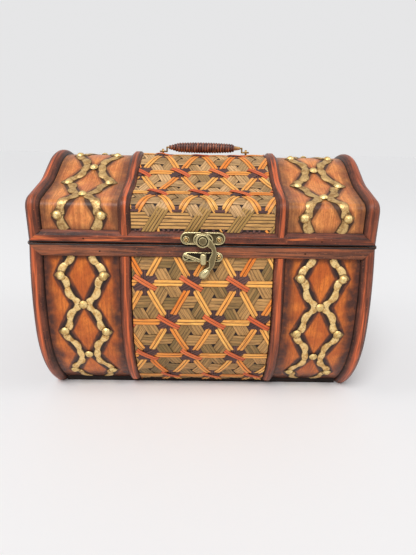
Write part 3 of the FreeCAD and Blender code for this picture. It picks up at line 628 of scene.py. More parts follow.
def strip_finish(name, pale, deep, dark, gloss, outline, lines=3.0):
    """A split strip: fibres along it, each strip with its own shade between pale and deep."""
    made, tree, shader = finish(name, Roughness=0.45)
    along = put(tree, "ShaderNodeUVMap", uv_map="grain").outputs["UV"]
    fibres = noise(tree, stretched(tree, along, (0.05, lines, 0)), 1.0, 4.0, 0.65, 0.15)
    patches = noise(tree, stretched(tree, along, (0.12, 1.5, 0)), 1.0, 3.0)
    dye = tint(tree, own_mask(tree, "shade"), pale, deep)
    dye = tint(tree, fade(tree, patches, 0.4, 0.7), dye, deep, 0.35)
    dye = tint(tree, fade(tree, fibres, 0.5, 0.68), dye, dark, 0.75)
    # Darker edges: painted shade and dirt in the gaps between strips, as deep as outline says.
    dye = tint(tree, fade(tree, own_mask(tree, "edge"), 0.6, 1.0), dye, dark, outline)
    surface(tree, shader, dye, spread(tree, fibres, gloss, gloss + 0.25), fibres, 0.0003)
    return made


bamboo = strip_finish(
    "olive_split_bamboo", (206, 152, 88), (126, 98, 50), (38, 25, 15), gloss=0.42, outline=0.95
)
# Painted light: a paler copy of the same bamboo for the lid's plait.
lid_bamboo = strip_finish(
    "lit_lid_split_bamboo", (232, 182, 124), (156, 120, 72), (48, 32, 20), gloss=0.42, outline=0.95
)
gold_cane = strip_finish(
    "golden_cane", (255, 194, 98), (240, 132, 34), (112, 48, 18), gloss=0.32, outline=0.7
)
dark_splint = strip_finish(
    "dark_dyed_splint", (108, 66, 57), (74, 44, 40), (32, 19, 19), gloss=0.42, outline=0.85
)
red_splint = strip_finish(
    "red_dyed_splint", (242, 130, 66), (214, 92, 42), (112, 44, 26), gloss=0.35, outline=0.7,
    lines=4.0,
)
bamboo_blank = strip_blank("bamboo_blank", 5)
cane_blank = strip_blank("cane_blank", 8)


def lay_splint(mat, start, end, side, width, rest, peak, dip, thick, shade):
    """A cane or splint from start to end, moved to one side, that dips at both ends."""
    dip_length, roundness = 5, 0.7
    run = end - start
    length = run.length
    ahead = run / length
    square = Vector((-ahead.y, ahead.x))

    def place(u, v, w):
        spot = start + run * u + square * (side + v * width)
        near = min(u, 1 - u) * length
        lift = dip + (rest - dip) * eased(near / dip_length)
        lift += (peak - rest) * math.sin(math.pi * u)
        crown = roundness * thick * (1 - (2 * v) ** 2)
        return (spot.x, spot.y, lift + (thick + crown if w > 0.5 else 0))

    mat.lay(cane_blank, place, length, shade)


def weave(
    name, pitch, row, first_x, first_s, rows, low, high, bend, body, squeeze, cane_width,
    last_tile, split,
):
    """One panel's plait, with its stars pitch apart in rows.

    Each row is half a pitch on from the last."""
    tiles, gold, dark, red = Mat(), Mat(), Mat(), Mat()
    strands, strand_cover, tile_cover, hole_size = 4, 0.96, 0.96, 0.09
    tuck, strand_length, strand_thick, strand_crown = 0.3, 18.0, 0.45, 0.22
    tuck_rise, over_rise, end_dip, bedding = 0.45, 0.6, 0.3, 0.2
    tile_play, shade_play, cane_play, splint_play = 0.12, 0.3, 0.15, 0.2
    cane_apart = cane_width + 0.35
    cane_ends = (5.5, 7.5)
    splint_width, splint_half = 2.4, 13.0
    tie = Vector((pitch / 2, -row / 3)).normalized() * 13.2

    def corner(degrees):
        turn = math.radians(degrees)
        return Vector((math.cos(turn) * pitch / 3, -math.sin(turn) * row / 1.5 / math.sqrt(3)))

    def flat(spot):
        return (spot.x, -squeeze(-spot.y))

    def tile(centre, start):
        """The bamboo between three stars: three groups of strands, each tucked under the next."""
        for third in range(3):
            along = corner(start + 120 * third)
            across = corner(start + 120 * third + 120)
            shade = random.random()
            lifted = random.uniform(-tile_play, tile_play)
            hole = (along + across) * hole_size
            for strand in range(strands):

                def place(u, v, w):
                    reach = -tuck + (1 + tuck) * u
                    side = (strand + 0.5 + v * strand_cover) / strands
                    spot = centre + hole + along * reach + across * (tile_cover * side)
                    rise = tuck_rise * eased((reach + tuck) / tuck)
                    rise += over_rise * eased(reach / 0.45)
                    rise -= bedding + end_dip * eased((reach - 0.7) / 0.3)
                    crown = strand_crown * (1 - (2 * v) ** 2)
                    top = strand_thick + rise + crown + lifted
                    return (*flat(spot), (top if w > 0.5 else -0.1))

                # Where the strand darkens, as painted shade and dirt: its sides, the sides of its
                # group and its end tucked under the next group.
                def outline(u, v):
                    rim = abs(2 * (strand + 0.5 + v) / strands - 1)
                    return max(0.82 * abs(2 * v), rim if rim > 0.9 else 0, 1 if u > 0.99 else 0)

                own = held(shade + random.uniform(-shade_play, shade_play))
                tiles.lay(bamboo_blank, place, strand_length, own, outline)

    for count in range(rows[0] - 1, rows[1] + 1):
        starred = rows[0] <= count < rows[1]
        shift = pitch / 2 if count % 2 else 0
        for place_on in range(-4, 5):
            star = Vector((first_x + shift + pitch * place_on, -(first_s + row * count)))
            if abs(star.x) > weave_half + pitch:
                continue
            for way, start in ((-1, 0), (1, 180)):
                centre = star + Vector((pitch / 2, way * row / 3))
                if abs(squeeze(-centre.y)) < last_tile:
                    tile(centre, start)
            for degrees in (0, 60, 120):
                if (degrees == 0 and not starred) or count == rows[1]:
                    continue
                reach = corner(degrees) * 3
                ahead = reach.normalized()
                begin = Vector(flat(star + ahead * random.uniform(*cane_ends)))
                end = Vector(flat(star + reach - ahead * random.uniform(*cane_ends)))
                shade = random.random()
                for side in (-cane_apart / 2, cane_apart / 2):
                    lay_splint(
                        gold, begin, end, side, cane_width, rest=1.0, peak=1.4, dip=0.1, thick=0.55,
                        shade=held(shade + random.uniform(-cane_play, cane_play)),
                    )
                # A dark strip under the gap between the two canes: painted shade in that gap.
                lay_splint(
                    dark, begin, end, 0, cane_apart - cane_width + 0.3,
                    rest=0.9, peak=1.3, dip=0.1, thick=0.3, shade=1.0,
                )
            if not starred:
                continue
            for reach, apart, lift, mat in (
                (Vector((0, splint_half)), (-2.5, 0, 2.5), 0.35, dark),
                (Vector((tie.x, -tie.y)), (-2.5, 0, 2.5), 0.95, dark),
                (tie, (-1.3, 1.3), 1.75, red),
            ):
                shade = random.random()
                lean = random.uniform(-0.6, 0.6)
                for side in apart:
                    lay_splint(
                        mat, Vector(flat(star - reach)), Vector(flat(star + reach)), side + lean,
                        splint_width, rest=lift, peak=lift + 0.45, dip=0.1, thick=0.5,
                        shade=held(shade + random.uniform(-splint_play, splint_play)),
                    )
    for mat, strips, made in (
        (tiles, "bamboo", split), (gold, "cane", gold_cane),
        (dark, "dark_splints", dark_splint), (red, "red_splints", red_splint),
    ):
        mat.trimmed(f"{name}_{strips}", low, high, bend, made, body)


def as_woven(s):
    return s


def closed_up(s):
    """The plait is pushed together where it nears the rails of the lid."""
    loose, closer = 91.3, 0.7
    return math.copysign(min(abs(s), loose) + max(abs(s) - loose, 0) * closer, s)


for name, bend in (("base_front", on_front), ("base_back", on_back)):
    weave(
        name, pitch=44.6, row=39.6, first_x=-10.5, first_s=37.6, rows=(-1, 5),
        low=11.9, high=170.5, bend=bend, body="base", squeeze=as_woven, cane_width=2.9,
        last_tile=200, split=bamboo,
    )
lid_star_pitch, lid_star_x, lid_weave_end = 40.0, -4.5, 136.0
weave(
    "lid", pitch=lid_star_pitch, row=42.6, first_x=lid_star_x, first_s=6.1, rows=(-2, 3),
    low=-lid_weave_end, high=lid_weave_end, bend=on_dome, body="lid", squeeze=closed_up,
    cane_width=3.0, last_tile=118, split=lid_bamboo,
)


# Edges of the lid's plait: level strips of split bamboo along the rail, at the front and the back.
# Slanting strips are plaited over them, and raw ends of cane and splint show below.
# The back edge begins higher, because the last row of stars ends higher there.

edge_strip_bamboo = strip_finish(
    "honey_split_bamboo", (236, 176, 104), (172, 132, 66), (58, 36, 20), gloss=0.4, outline=0.9
)
edge_bamboo, edge_gold, edge_dark = Mat(), Mat(), Mat()
edge_foot, edge_step, edge_crown = 132.0, 3.2, 0.2
slant_top, slant_foot, slant_out = 109, 141, 10.5
raw_top, raw_foot = (132.6, 133.8), 138


def lay_bamboo(start, end, width, low, high, shade):
    run = end - start
    square = Vector((-run.y, run.x)).normalized()

    def place(u, v, w):
        spot = start + run * u + square * v * width
        crown = edge_crown * (1 - (2 * v) ** 2)
        return (spot.x, spot.y, (high + crown if w > 0.5 else low))

    edge_bamboo.lay(bamboo_blank, place, run.length, shade)


for way, strands, sooner in ((1, 6, 0.0), (-1, 9, 8.5)):

    def at_edge(x, down):
        return Vector((x, -way * down))

    for count in range(-2, 3):
        at = lid_star_pitch * count + lid_star_x
        for strand in reversed(range(strands)):
            down = edge_foot - edge_step * strand
            lay_bamboo(
                at_edge(at + 2, down), at_edge(at + 38, down), width=2.9, low=-0.1, high=0.65,
                shade=0.5 * random.random(),
            )
        for down in (113.6 - sooner, 116.2 - sooner):
            lay_splint(
                edge_dark, at_edge(at + 11, down), at_edge(at + 29, down), side=0, width=2.5,
                rest=0.6, peak=0.75, dip=0.1, thick=0.4, shade=random.random(),
            )
        top = at_edge(at + slant_out, slant_top - sooner)
        bottom = at_edge(at - slant_out, slant_foot)
        for side in (-4.9, -1.65, 1.65, 4.9):
            lean = Vector((side, 0))
            lay_bamboo(
                top + lean, bottom + lean, width=2.6, low=0.2, high=1.35,
                shade=0.7 + 0.3 * random.random(),
            )
    at = -64.0
    while at < 66:
        mat = random.choice((edge_gold, edge_dark, edge_dark))
        lean = random.uniform(-4, 4)
        lay_splint(
            mat, at_edge(at, random.uniform(*raw_top)), at_edge(at + lean, raw_foot), side=0,
            width=random.uniform(1.6, 2.6), rest=0.6, peak=0.9, dip=0.0, thick=0.5,
            shade=random.random(),
        )
        at += random.uniform(4.0, 7.0)
for mat, strips, made in (
    (edge_bamboo, "bamboo", edge_strip_bamboo), (edge_gold, "cane", gold_cane),
    (edge_dark, "dark_splints", dark_splint),
):
    mat.trimmed(f"lid_edge_{strips}", -lid_weave_end, lid_weave_end, on_dome, made, "lid")


# Straps and tacks: wavy strips of thin brass in a chain of diamonds, held by domed tack heads.
# Old brass, dull brown in the hollows and bright where it is rubbed, with a ring round each tack
# head that is partly dirt and partly painted shadow.

def brass_finish(name, bright, dull, deep, gloss, hammer=0.0004):
    made, tree, shader = finish(name, Metallic=1.0, Roughness=0.35)
    place = in_mm(tree)
    patina = fade(tree, noise(tree, place, 0.22, 4.0, 0.6), 0.4, 0.66)
    spots = fade(tree, noise(tree, place, 1.1, 4.0, 0.6), 0.5, 0.72)
    metal = tint(tree, patina, bright, dull)
    metal = tint(tree, spots, metal, deep, 0.6)
    # Dark marked edges: dirt, and round the tack heads partly painted shadow.
    metal = tint(tree, fade(tree, own_mask(tree, "edge"), 0.75, 1.0), metal, deep, 0.7)
    beaten = noise(tree, place, 0.5, 2.0)
    surface(tree, shader, metal, spread(tree, patina, gloss, gloss + 0.22), beaten, hammer)
    return made


strap_brass = brass_finish(
    "old_strap_brass", (248, 214, 150), (208, 166, 104), (84, 58, 36), gloss=0.42
)
dull_brass = brass_finish(
    "dull_strap_brass", (218, 182, 124), (168, 132, 86), (72, 50, 34), gloss=0.45
)
tack_brass = brass_finish(
    "tack_brass", (242, 214, 150), (204, 170, 108), (104, 76, 44), gloss=0.38
)
coat_nodes(tack_brass, "base_tacks", "lid_tacks")

strap_steps = 260
lobe_length, lobe_swell, lobe_sway = 12.6, 1.1, 1.7
ear_length, ear_half = 4.2, 2.4
tack_reach = 4.15
strap_lift = face_inset - 5.0
strap_thick, crease_rise, lobe_rise = 0.55, 0.15, 0.75
strap_blank = strip_blank("strap_blank", strap_steps, 6)


def strap_line(nodes, start, end):
    """The middle of a strap from start to end, its corners eased, as places across and down."""
    nearby = [0.9 * count for count in range(-3, 4)]
    line = []
    for step in range(strap_steps + 1):
        s = start + (end - start) * step / strap_steps
        total = 0.0
        for offset in nearby:
            at = s + offset
            for (x, low), (next_x, high) in zip(nodes, nodes[1:]):
                if low <= at <= high:
                    total += x + (next_x - x) * (at - low) / (high - low)
                    break
        line.append((total / len(nearby), s))
    return line


def lay_strap(mat, nodes, start, end, middle, mirror, broad):
    """A beaten strap: a row of swelling lobes with a crease between each and the next."""
    line = strap_line(nodes, start, end)
    walked = [0.0]
    for (x, s), (next_x, next_s) in zip(line, line[1:]):
        walked.append(walked[-1] + math.hypot(next_x - x, next_s - s))
    outer = [s for x, s in nodes if x == strap_outer]
    first = min(range(len(line)), key=lambda step: abs(line[step][1] - outer[0]))
    lobes = [(far - walked[first]) / lobe_length for far in walked]
    tacks = [(strap_outer, s) for s in outer]
    tacks += [(0, s) for x, s in nodes if x == strap_inner]

    def step_at(u):
        return min(round(u * strap_steps), strap_steps)

    def place(u, v, w):
        step = step_at(u)
        x, s = line[step]
        x0, s0 = line[max(step - 1, 0)]
        x1, s1 = line[min(step + 1, strap_steps)]
        way = Vector((x1 - x0, s1 - s0)).normalized()
        swell = abs(math.sin(math.pi * lobes[step])) ** 0.7
        half = broad + lobe_swell * swell
        sway = lobe_sway * (1 if math.floor(lobes[step]) % 2 else -1) * swell
        edge = 2 * v
        if edge > 0.9:
            ear = min(abs(s - tack) for tack in outer)
            half += ear_length * max(0, 1 - ear / ear_half)
        aside = edge * half + sway
        x, s = x + way.y * aside, s - way.x * aside
        lift = strap_thick + (crease_rise + lobe_rise * swell) * (1 - edge * edge)
        return (middle + mirror * x, -s, strap_lift + (lift if w > 0.5 else -0.2))

    def outline(u, v):
        """Dirt gathers along the edges and in the creases; round the tack heads the dark ring is
        partly dirt and partly painted shadow of the heads.
        """
        crease = 1 - abs(math.sin(math.pi * lobes[step_at(u)])) / 0.3
        spot = place(u, v, 1)
        across = (spot[0] - middle) * mirror
        away = min(math.hypot(across - tack_x, -spot[1] - tack_s) for tack_x, tack_s in tacks)
        round_tack = tack_reach - 0.4 < away < tack_reach + 1.1
        return max(abs(2 * v), crease, 1 if round_tack else 0)

    mat.lay(strap_blank, place, walked[-1], 0.5, outline)


def s_at(height):
    """How far down the base's face a height is."""
    low, high = 0.0, 175.0
    for _ in range(30):
        middle = (low + high) / 2
        low, high = (middle, high) if on_front(0, middle, 0).z > height * mm else (low, middle)
    return low


base_nodes = [
    (strap_outer if turn % 2 else strap_inner, s_at(height))
    for turn, height in enumerate(base_tack_heights)
]
base_nodes += [(strap_inner, base_nodes[-1][1] + 28.5)]
lid_nodes = [
    (strap_inner if turn % 2 else strap_outer, lid_first_tack + lid_pitch / 2 * turn)
    for turn in range(-6, 6)
]
for side, way in (("left", -1), ("right", 1)):
    for name, body, bend, nodes, start, end, turned, broad, brass in (
        ("lid", "lid", on_dome, lid_nodes, -135.5, 135.5, 1, 3.5, dull_brass),
        ("base_front", "base", on_front, base_nodes, 11.8, 170.0, 1, 2.6, strap_brass),
        ("base_back", "base", on_back, base_nodes, 11.8, 170.0, -1, 2.6, strap_brass),
    ):
        pair = Mat()
        for mirror in (-1, 1):
            lay_strap(pair, nodes, start, end, turned * way * panel_middle, mirror, broad)
        pair.bent(
            f"{name}_{side}_beaten_straps", bend, brass, body, "strap_brass", (),
            f"{name}_{side}_straps",
        )


# Latch: a cast plate with a raised rim and boss on the lid's rail, a hook that turns on its rivet,
# and a keeper with a peg nose on the base. Bronze castings, dark in their hollows and rubbed bright
# on their edges, each held by brass screws in raised cups.

def casting_finish(name, sunk, plain, bright):
    """Old cast metal: each point's shade says whether it is sunk and dark or rubbed bright."""
    made, tree, shader = finish(name, Metallic=0.9, Roughness=0.35)
    grit = noise(tree, in_mm(tree), 0.9, 4.0, 0.6)
    uneven = spread(tree, grit, -0.36, 0.36)
    rubbed = calc(tree, "ADD", own_mask(tree, "shade"), uneven, clamp=True)
    metal = tint(tree, fade(tree, rubbed, 0.0, 0.5), sunk, plain)
    metal = tint(tree, fade(tree, rubbed, 0.5, 1.0), metal, bright)
    surface(tree, shader, metal, spread(tree, rubbed, 0.55, 0.28), grit, 0.0003)
    return made


latch_bronze = casting_finish("antique_bronze", (38, 31, 24), (124, 109, 77), (204, 189, 142))


def bar_line(length, height, middle=(0, 0), turn=0.0):
    """The outline of a flat bar with round ends."""
    points = []
    for end, first in ((1, -90), (-1, 90)):
        for step in range(13):
            angle = math.radians(first + 15 * step)
            spot = Vector((height / 2 * math.cos(angle), height / 2 * math.sin(angle)))
            points.append(spot + Vector((end * (length - height) / 2, 0)))
    swing = Matrix.Rotation(math.radians(turn), 2)
    return [swing @ point + Vector(middle) for point in points]


def ring_line(radius, middle=(0, 0)):
    angles = [math.radians(15 * step) for step in range(24)]
    return [Vector((math.cos(a), math.sin(a))) * radius + Vector(middle) for a in angles]


def cast(name, outline, back, front, steps):
    """A casting laid flat: its outline is raised, then its face is stepped in, ring by ring.

    Each step is how far in, how far up, and how much the new ring is rubbed bright."""
    wall_shade, rim_shade = 0.25, 0.6
    mesh = bpy.data.meshes.new(name)
    mesh.from_pydata([(p.x * mm, p.y * mm, back * mm) for p in outline], [], [range(len(outline))])
    tone = mesh.attributes.new("shade", "FLOAT", "POINT")
    tone.data.foreach_set("value", [wall_shade] * len(outline))
    piece = new_piece(name, mesh)
    bpy.ops.object.mode_set(mode="EDIT")
    bpy.ops.mesh.select_all(action="SELECT")
    bpy.ops.mesh.extrude_region_move(TRANSFORM_OT_translate={"value": (0, 0, (front - back) * mm)})
    for inset, rise, bright in ((0, 0, rim_shade), *steps):
        if inset:
            bpy.ops.mesh.inset(thickness=inset * mm, depth=rise * mm)
        bpy.ops.object.mode_set(mode="OBJECT")
        for vert in mesh.vertices:
            if vert.select:
                mesh.attributes["shade"].data[vert.index].value = bright
        bpy.ops.object.mode_set(mode="EDIT")
    face_outwards()
    return piece


def fixed(name, parts, to_chest, made, body, slot, *nodes):
    """Castings joined as one piece and set in their place on the chest."""
    pick(*parts)
    piece = parts[0]
    if len(parts) > 1:
        bpy.ops.object.join()
    piece.name = piece.data.name = name
    piece.data.transform(to_chest)
    set_on(piece, 50, made, body, slot, *nodes)


def facing(y, z, slope):
    """From a fitting drawn flat to a point of the chest whose face leans by slope."""
    lean, level = math.sin(math.radians(slope)), math.cos(math.radians(slope))
    return Matrix((
        (1, 0, 0, 0), (0, lean, -level, y * mm), (0, level, lean, z * mm), (0, 0, 0, 1),
    ))


on_lid_rail = facing(-107.6, 172.2, 0)
on_base_rail = facing(-110.1, 155.9, 12.15)
raised_rim = [(0.5, 0.5, 1.0), (0.6, 0.05, 0.95), (0.5, -0.55, 0.32)]
cup = [(0.4, 0.4, 1.0), (0.4, 0.0, 0.95), (0.4, -0.8, 0.0)]
plate_cups, keeper_cup = (-15.5, 15.5), 15.4

plate_parts = [
    cast("plate", bar_line(42.4, 12.4, (0, 1.0)), 0, 1.0, raised_rim),
    cast("boss", bar_line(18.8, 11.8, (0.4, 0.7)), 0.2, 5.2, raised_rim),
    cast("hub", ring_line(7.1), 0.2, 5.6, [(0.4, 0.4, 0.9), (0.5, 0.0, 0.3)]),
]
plate_parts += [cast("cup", ring_line(3.4, (x, 0)), 0.2, 1.6, cup) for x in plate_cups]
rivet = cast("rivet", ring_line(3.95), 7.3, 8.2, [(0.35, 0.3, 0.9), (0.5, 0.1, 0.5), (0.6, 0, 0.4)])

crescent = [
    (4.5, 4.5), (7.6, 1.7), (10.4, -2.2), (12.3, -6.2), (13.3, -10.2), (13.2, -14.2),
    (12.3, -18.2), (11.6, -22.2), (9.7, -26.2), (8.3, -27.9), (7.1, -30.7), (5.9, -33.7),
    (3.3, -36.5), (0.2, -37.4), (-2.4, -36.0), (-3.4, -33.4), (-2.6, -30.7), (0.5, -27.9),
    (4.3, -25.9), (6.2, -24.5), (6.1, -21.7), (5.6, -18.7), (6.9, -15.0), (8.3, -12.2),
    (8.5, -9.2), (7.8, -7.5), (6.2, -6.3), (4.0, -5.0), (5.0, -2.5), (5.5, 1.0),
]
spoon = [
    (5.2, -33.0), (3.0, -35.7), (0.3, -36.6), (-1.9, -35.3), (-2.6, -33.2), (-1.8, -31.2),
    (0.9, -28.8), (4.4, -26.9), (6.6, -27.8), (6.3, -30.5),
]
hook_parts = [
    cast("arm", [Vector(p) for p in reversed(crescent)], 6.25, 7.2, [
        (0.45, 0.45, 1.0), (0.4, 0.2, 0.65), (0.4, 0.1, 0.5),
    ]),
    cast("eye", ring_line(6.5), 6.25, 7.6, [
        (0.4, 0.4, 1.0), (1.2, 0.05, 0.6), (0.15, -0.8, 0.0), (2.3, -0.02, 0.0),
    ]),
    cast("spoon", [Vector(p) for p in reversed(spoon)], 7.3, 7.7, [
        (0.4, 0.5, 0.8), (0.6, 0.5, 0.95), (0.7, 0.3, 1.0), (0.6, 0.1, 1.0),
    ]),
]
keeper_parts = [
    cast("keeper", bar_line(38.5, 9.2), 0, 0.9, [
        (0.4, 0.5, 1.0), (0.5, 0.1, 0.9), (0.4, -0.8, 0.0),
    ]),
    cast("lever", bar_line(17.0, 3.6, (-9.4, -1.2), -19), 0.2, 1.3, [
        (0.4, 0.4, 1.0), (0.6, 0.15, 0.7),
    ]),
    cast("nose", bar_line(11.8, 6.4, (0.8, -2.4), 90), 0.2, 1.4, [
        (0.4, 0.6, 0.75), (0.6, 0.5, 0.9), (0.7, 0.25, 1.0), (0.6, 0.1, 0.9),
    ]),
    cast("eyelet", ring_line(3.3, (-15.6, 0.2)), 0.2, 1.4, [
        (0.4, 0.4, 1.0), (0.5, 0.0, 0.95), (0.4, -1.0, 0.0),
    ]),
    cast("cup", ring_line(3.4, (keeper_cup, 0)), 0.2, 1.5, cup),
]
for name, parts, to_chest, body, replaced in (
    ("latch_plate_cast", plate_parts, on_lid_rail, "lid", "latch_plate"),
    ("latch_rivet_cast", [rivet], on_lid_rail, "lid", "latch_rivet"),
    ("latch_hook_cast", hook_parts, on_lid_rail, "latch_hook", "latch_hook"),
    ("keeper_cast", keeper_parts, on_base_rail, "base", "keeper_plate"),
):
    fixed(name, parts, to_chest, latch_bronze, body, "latch_bronze", replaced)


# Screws: small round-headed brass screws that hold the latch, the keeper and the hinges.
# One head is turned, its driving cross is cut, and it is copied to each place.

screw_brass = casting_finish("old_screw_brass", (48, 34, 22), (152, 118, 72), (232, 192, 126))
head = cast("head", ring_line(2.1), 0, 0.35, [
    (0.25, 0.3, 0.9), (0.45, 0.22, 1.0), (0.5, 0.1, 1.0), (0.4, 0.02, 1.0),
])
cross_size, cross_height, cross_floor, cross_reach = (2.9, 0.6, 1.1), 1.05, 0.7, 1.6
for cross_turn in (45, 135):
    bpy.ops.object.select_all(action="DESELECT")
    bpy.ops.mesh.primitive_cube_add(size=mm, location=(0, 0, cross_height * mm))
    cutter = bpy.context.object
    cutter.scale = cross_size
    cutter.rotation_euler.z = math.radians(cross_turn)
    pick(head)
    cut = head.modifiers.new("cross", "BOOLEAN")
    cut.object = cutter
    bpy.ops.object.modifier_apply(modifier=cut.name)
    bpy.data.objects.remove(cutter, do_unlink=True)
for item, vert in zip(head.data.attributes["shade"].data, head.data.vertices):
    sunk = vert.co.z < cross_floor * mm and vert.co.xy.length < cross_reach * mm
    item.value = 0.0 if sunk else 0.9

in_place = Matrix.Identity(4)
turned_back = Matrix.Rotation(math.pi, 4, "Z")
behind_lid = turned_back @ facing(-108.8, 173.65, 0)
behind_base = turned_back @ facing(-110.33, 160.18, 12.9)
hinge_screws = (-120.7, -103.7, 103.7, 120.7)
for body, front, cups, behind in (
    ("lid", on_lid_rail, plate_cups, behind_lid),
    ("base", on_base_rail, [keeper_cup], behind_base),
):
    places = [(front, x, 1.2) for x in cups] + [(behind, x, 0) for x in hinge_screws]
    heads = []
    for to_chest, x, lift in places:
        copied = new_piece("head", head.data.copy())
        copied.data.transform(to_chest @ Matrix.Translation(Vector((x, 0, lift)) * mm))
        heads.append(copied)
    fixed(
        f"{body}_screw_heads", heads, in_place, screw_brass, body, "screw_brass", f"{body}_screws"
    )
bpy.data.objects.remove(head, do_unlink=True)


# Brads: small iron pins that hold the rails to the carcass near their ends.
# Each is driven nearly flush, so that only its rounded head shows.

brad_iron, tree, shader = finish("dark_brad_iron", Metallic=1.0, Roughness=0.5)
rust = fade(tree, noise(tree, in_mm(tree), 1.2, 3.0), 0.4, 0.6)
iron = tint(tree, rust, (58, 46, 42), (88, 52, 36))
surface(tree, shader, iron, spread(tree, rust, 0.35, 0.6))
brad_radius, brad_rings = 0.85, [(0.3, 0.15, 0.4), (0.25, 0.08, 0.2)]
for body, on_rail, across in (
    ("base", facing(-109.2, 160.0, 12.9), 97.0), ("lid", facing(-107.5, 171.4, 0), 112.0),
):
    brads = []
    for turn in (in_place, turned_back):
        for x in (-across, across):
            brad = cast("brad", ring_line(brad_radius), -0.3, 0.15, brad_rings)
            brad.data.transform(turn @ on_rail @ Matrix.Translation(Vector((x, 0, 0)) * mm))
            brads.append(brad)
    fixed(f"{body}_rail_brads", brads, in_place, brad_iron, body, "tack_brass")


# Hinges: two small brass butts let into the back rails, each with a pin through both leaves.
# Brass sheet that has gone dull.

hinge_parts = ("hinge_base_leaf", "hinge_lid_leaf", "hinge_pin")
coat_nodes(strap_brass, *[f"{side}_{part}" for side in sides for part in hinge_parts])


# Handle: a turned spindle bound with a dark cane, hung by wire from two screw eyes on the crown.
# The tips are bare pale wood.

tip_wood, tree, shader = finish("bare_tip_wood", Roughness=0.45)
streaks, mottling, fibres = grain(tree, in_mm(tree), (0.06, 1, 1))
bare = tint(tree, mottling, (206, 160, 96), (176, 122, 66))
bare = tint(tree, streaks, bare, (112, 68, 38), 0.6)
surface(tree, shader, bare, spread(tree, fibres, 0.35, 0.6), fibres, 0.0002)
coat_nodes(tip_wood, "handle_core")
wire_brass = brass_finish(
    "dull_wire_brass", (176, 140, 84), (110, 82, 48), (54, 38, 26), gloss=0.4, hammer=0.0002
)
coat_nodes(wire_brass, *[f"handle_{side}_{part}" for side in sides for part in ("wire", "eye")])

wrap_cane, tree, shader = finish("dark_wrapping_cane", Roughness=0.35)
glints = noise(tree, stretched(tree, in_mm(tree), (0.8, 0.3, 0.3)), 0.5, 4.0)
glints = fade(tree, glints, 0.4, 0.66)
dye = tint(tree, glints, (86, 41, 32), (164, 94, 66))
# Painted shade: the grooves between the turns of cane are darkened.
dye = tint(tree, fade(tree, own_mask(tree, "shade"), 0.7, 0.15), dye, (30, 16, 14))
surface(tree, shader, dye, spread(tree, glints, 0.42, 0.28), glints, 0.0002)

wrap_left, wrap_right, wrap_turns = -39.5, 33.0, 25
grip_height, grip_end, grip_swell = 252.3, 3.9, 1.5
cane_swell, cane_groove = 0.95, 0.45
left_taper, right_taper = 2.1, 0.5
rings, spokes = wrap_turns * 8, 24
wrap_points, wrap_faces, wrap_shades = [], [], []
for ring in range(rings + 1):
    x = wrap_left + (wrap_right - wrap_left) * ring / rings
    thick = grip_end + grip_swell * (1 - min(abs(x + 3) / 38, 1) ** 2)
    thick -= left_taper * eased((-x - 27) / 12.5) + right_taper * eased((x - 29) / 4)
    for spoke in range(spokes):
        turn = spoke / spokes
        swell = abs(math.sin(math.pi * (wrap_turns * ring / rings + turn)))
        reach = thick + cane_swell * swell - cane_groove
        angle = 2 * math.pi * turn
        wrap_points.append(
            Vector((x, reach * math.cos(angle), grip_height + reach * math.sin(angle))) * mm
        )
        wrap_shades.append(swell)
for ring in range(rings):
    for spoke in range(spokes):
        here, beside_it = ring * spokes + spoke, ring * spokes + (spoke + 1) % spokes
        wrap_faces.append((here, here + spokes, beside_it + spokes, beside_it))
wrap_faces.append(tuple(range(spokes)))
wrap_faces.append(tuple(rings * spokes + spoke for spoke in reversed(range(spokes))))
wrap_mesh = bpy.data.meshes.new("grip_wrapping")
wrap_mesh.from_pydata(wrap_points, [], wrap_faces)
ridge_mask = wrap_mesh.attributes.new("shade", "FLOAT", "POINT")
ridge_mask.data.foreach_set("value", wrap_shades)
wrapping = new_piece("grip_wrapping", wrap_mesh)
bpy.ops.object.mode_set(mode="EDIT")
face_outwards()
set_on(wrapping, 50, wrap_cane, "handle", "grip_cane", "handle_wrap")


# Studio: a flat pale floor, with a background of the same pale grey behind its far edge.
# Soft light from all round, a broad sun from the front left, and a strip lamp at each side.

bpy.ops.object.select_all(action="DESELECT")
bpy.ops.mesh.primitive_plane_add(size=16, location=(0, 0, 0))
floor = bpy.context.object
floor.name = "floor"
floor_paint, tree, shader = finish("pale_floor", Base_Color=(0.88, 0.88, 0.89, 1), Roughness=0.7)
floor.data.materials.append(floor_paint)

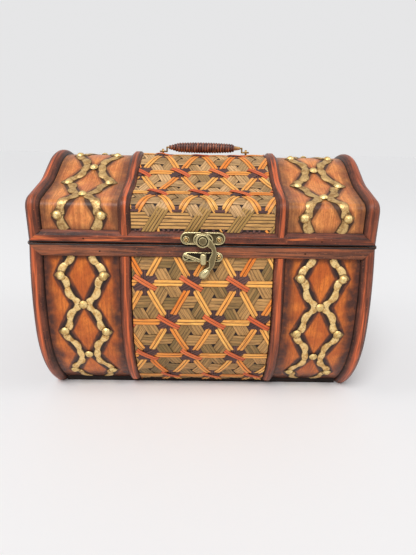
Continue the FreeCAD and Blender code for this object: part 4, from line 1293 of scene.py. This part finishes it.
world = bpy.data.worlds.new("soft_white")
bpy.context.scene.world = world
world.use_nodes = True
sky = world.node_tree
around = sky.nodes["Background"]
around.inputs["Color"].default_value = (1, 1, 1, 1)
around.inputs["Strength"].default_value = 0.35
seen = put(sky, "ShaderNodeBackground", Color=(0.79, 0.79, 0.797, 1), Strength=1.0)
ray = put(sky, "ShaderNodeLightPath").outputs
looked_at = calc(sky, "MAXIMUM", ray["Is Camera Ray"], ray["Is Glossy Ray"])
looked_at = calc(sky, "MAXIMUM", looked_at, ray["Is Transmission Ray"])
either = put(sky, "ShaderNodeMixShader")
sky.links.new(looked_at, either.inputs["Fac"])
sky.links.new(around.outputs[0], either.inputs[1])
sky.links.new(seen.outputs[0], either.inputs[2])
sky.links.new(either.outputs[0], sky.nodes["World Output"].inputs["Surface"])


def hung(name, lit, aim):
    """A lamp, turned to shine along aim."""
    holder = bpy.data.objects.new(name, lit)
    bpy.context.collection.objects.link(holder)
    holder.rotation_euler = aim.to_track_quat("-Z", "Y").to_euler()
    return holder


sun = bpy.data.lights.new("broad_daylight", "SUN")
sun.energy = 2.0
sun.angle = math.radians(28)
hung("broad_daylight", sun, Vector((0.25, 0.7, -1.0)))
for side, way in (("left", -1), ("right", 1)):
    strip = bpy.data.lights.new(f"{side}_strip", "AREA")
    strip.shape = "RECTANGLE"
    strip.size, strip.size_y = 0.5, 1.2
    strip.energy = 3.6
    place = Vector((way * 1.2, -0.4, 1.1))
    hung(f"{side}_strip", strip, Vector((0, 0, 0.15)) - place).location = place

camera = bpy.data.cameras.new("camera")
camera.lens = 26.744
camera.sensor_width = 36
camera.clip_start = 0.01
viewer = bpy.data.objects.new("camera", camera)
bpy.context.collection.objects.link(viewer)
right = Vector((0.99987, -0.003658, 0.01573))
down = Vector((0.013766, -0.316237, -0.94858))
ahead = Vector((0.008445, 0.948673, -0.316146))
turned = Matrix((right, -down, -ahead)).transposed().to_4x4()
viewer.matrix_world = Matrix.Translation(Vector((2.1, -485.8, 260.7)) * mm) @ turned
bpy.context.scene.camera = viewer
bpy.context.scene.view_settings.view_transform = "Standard"
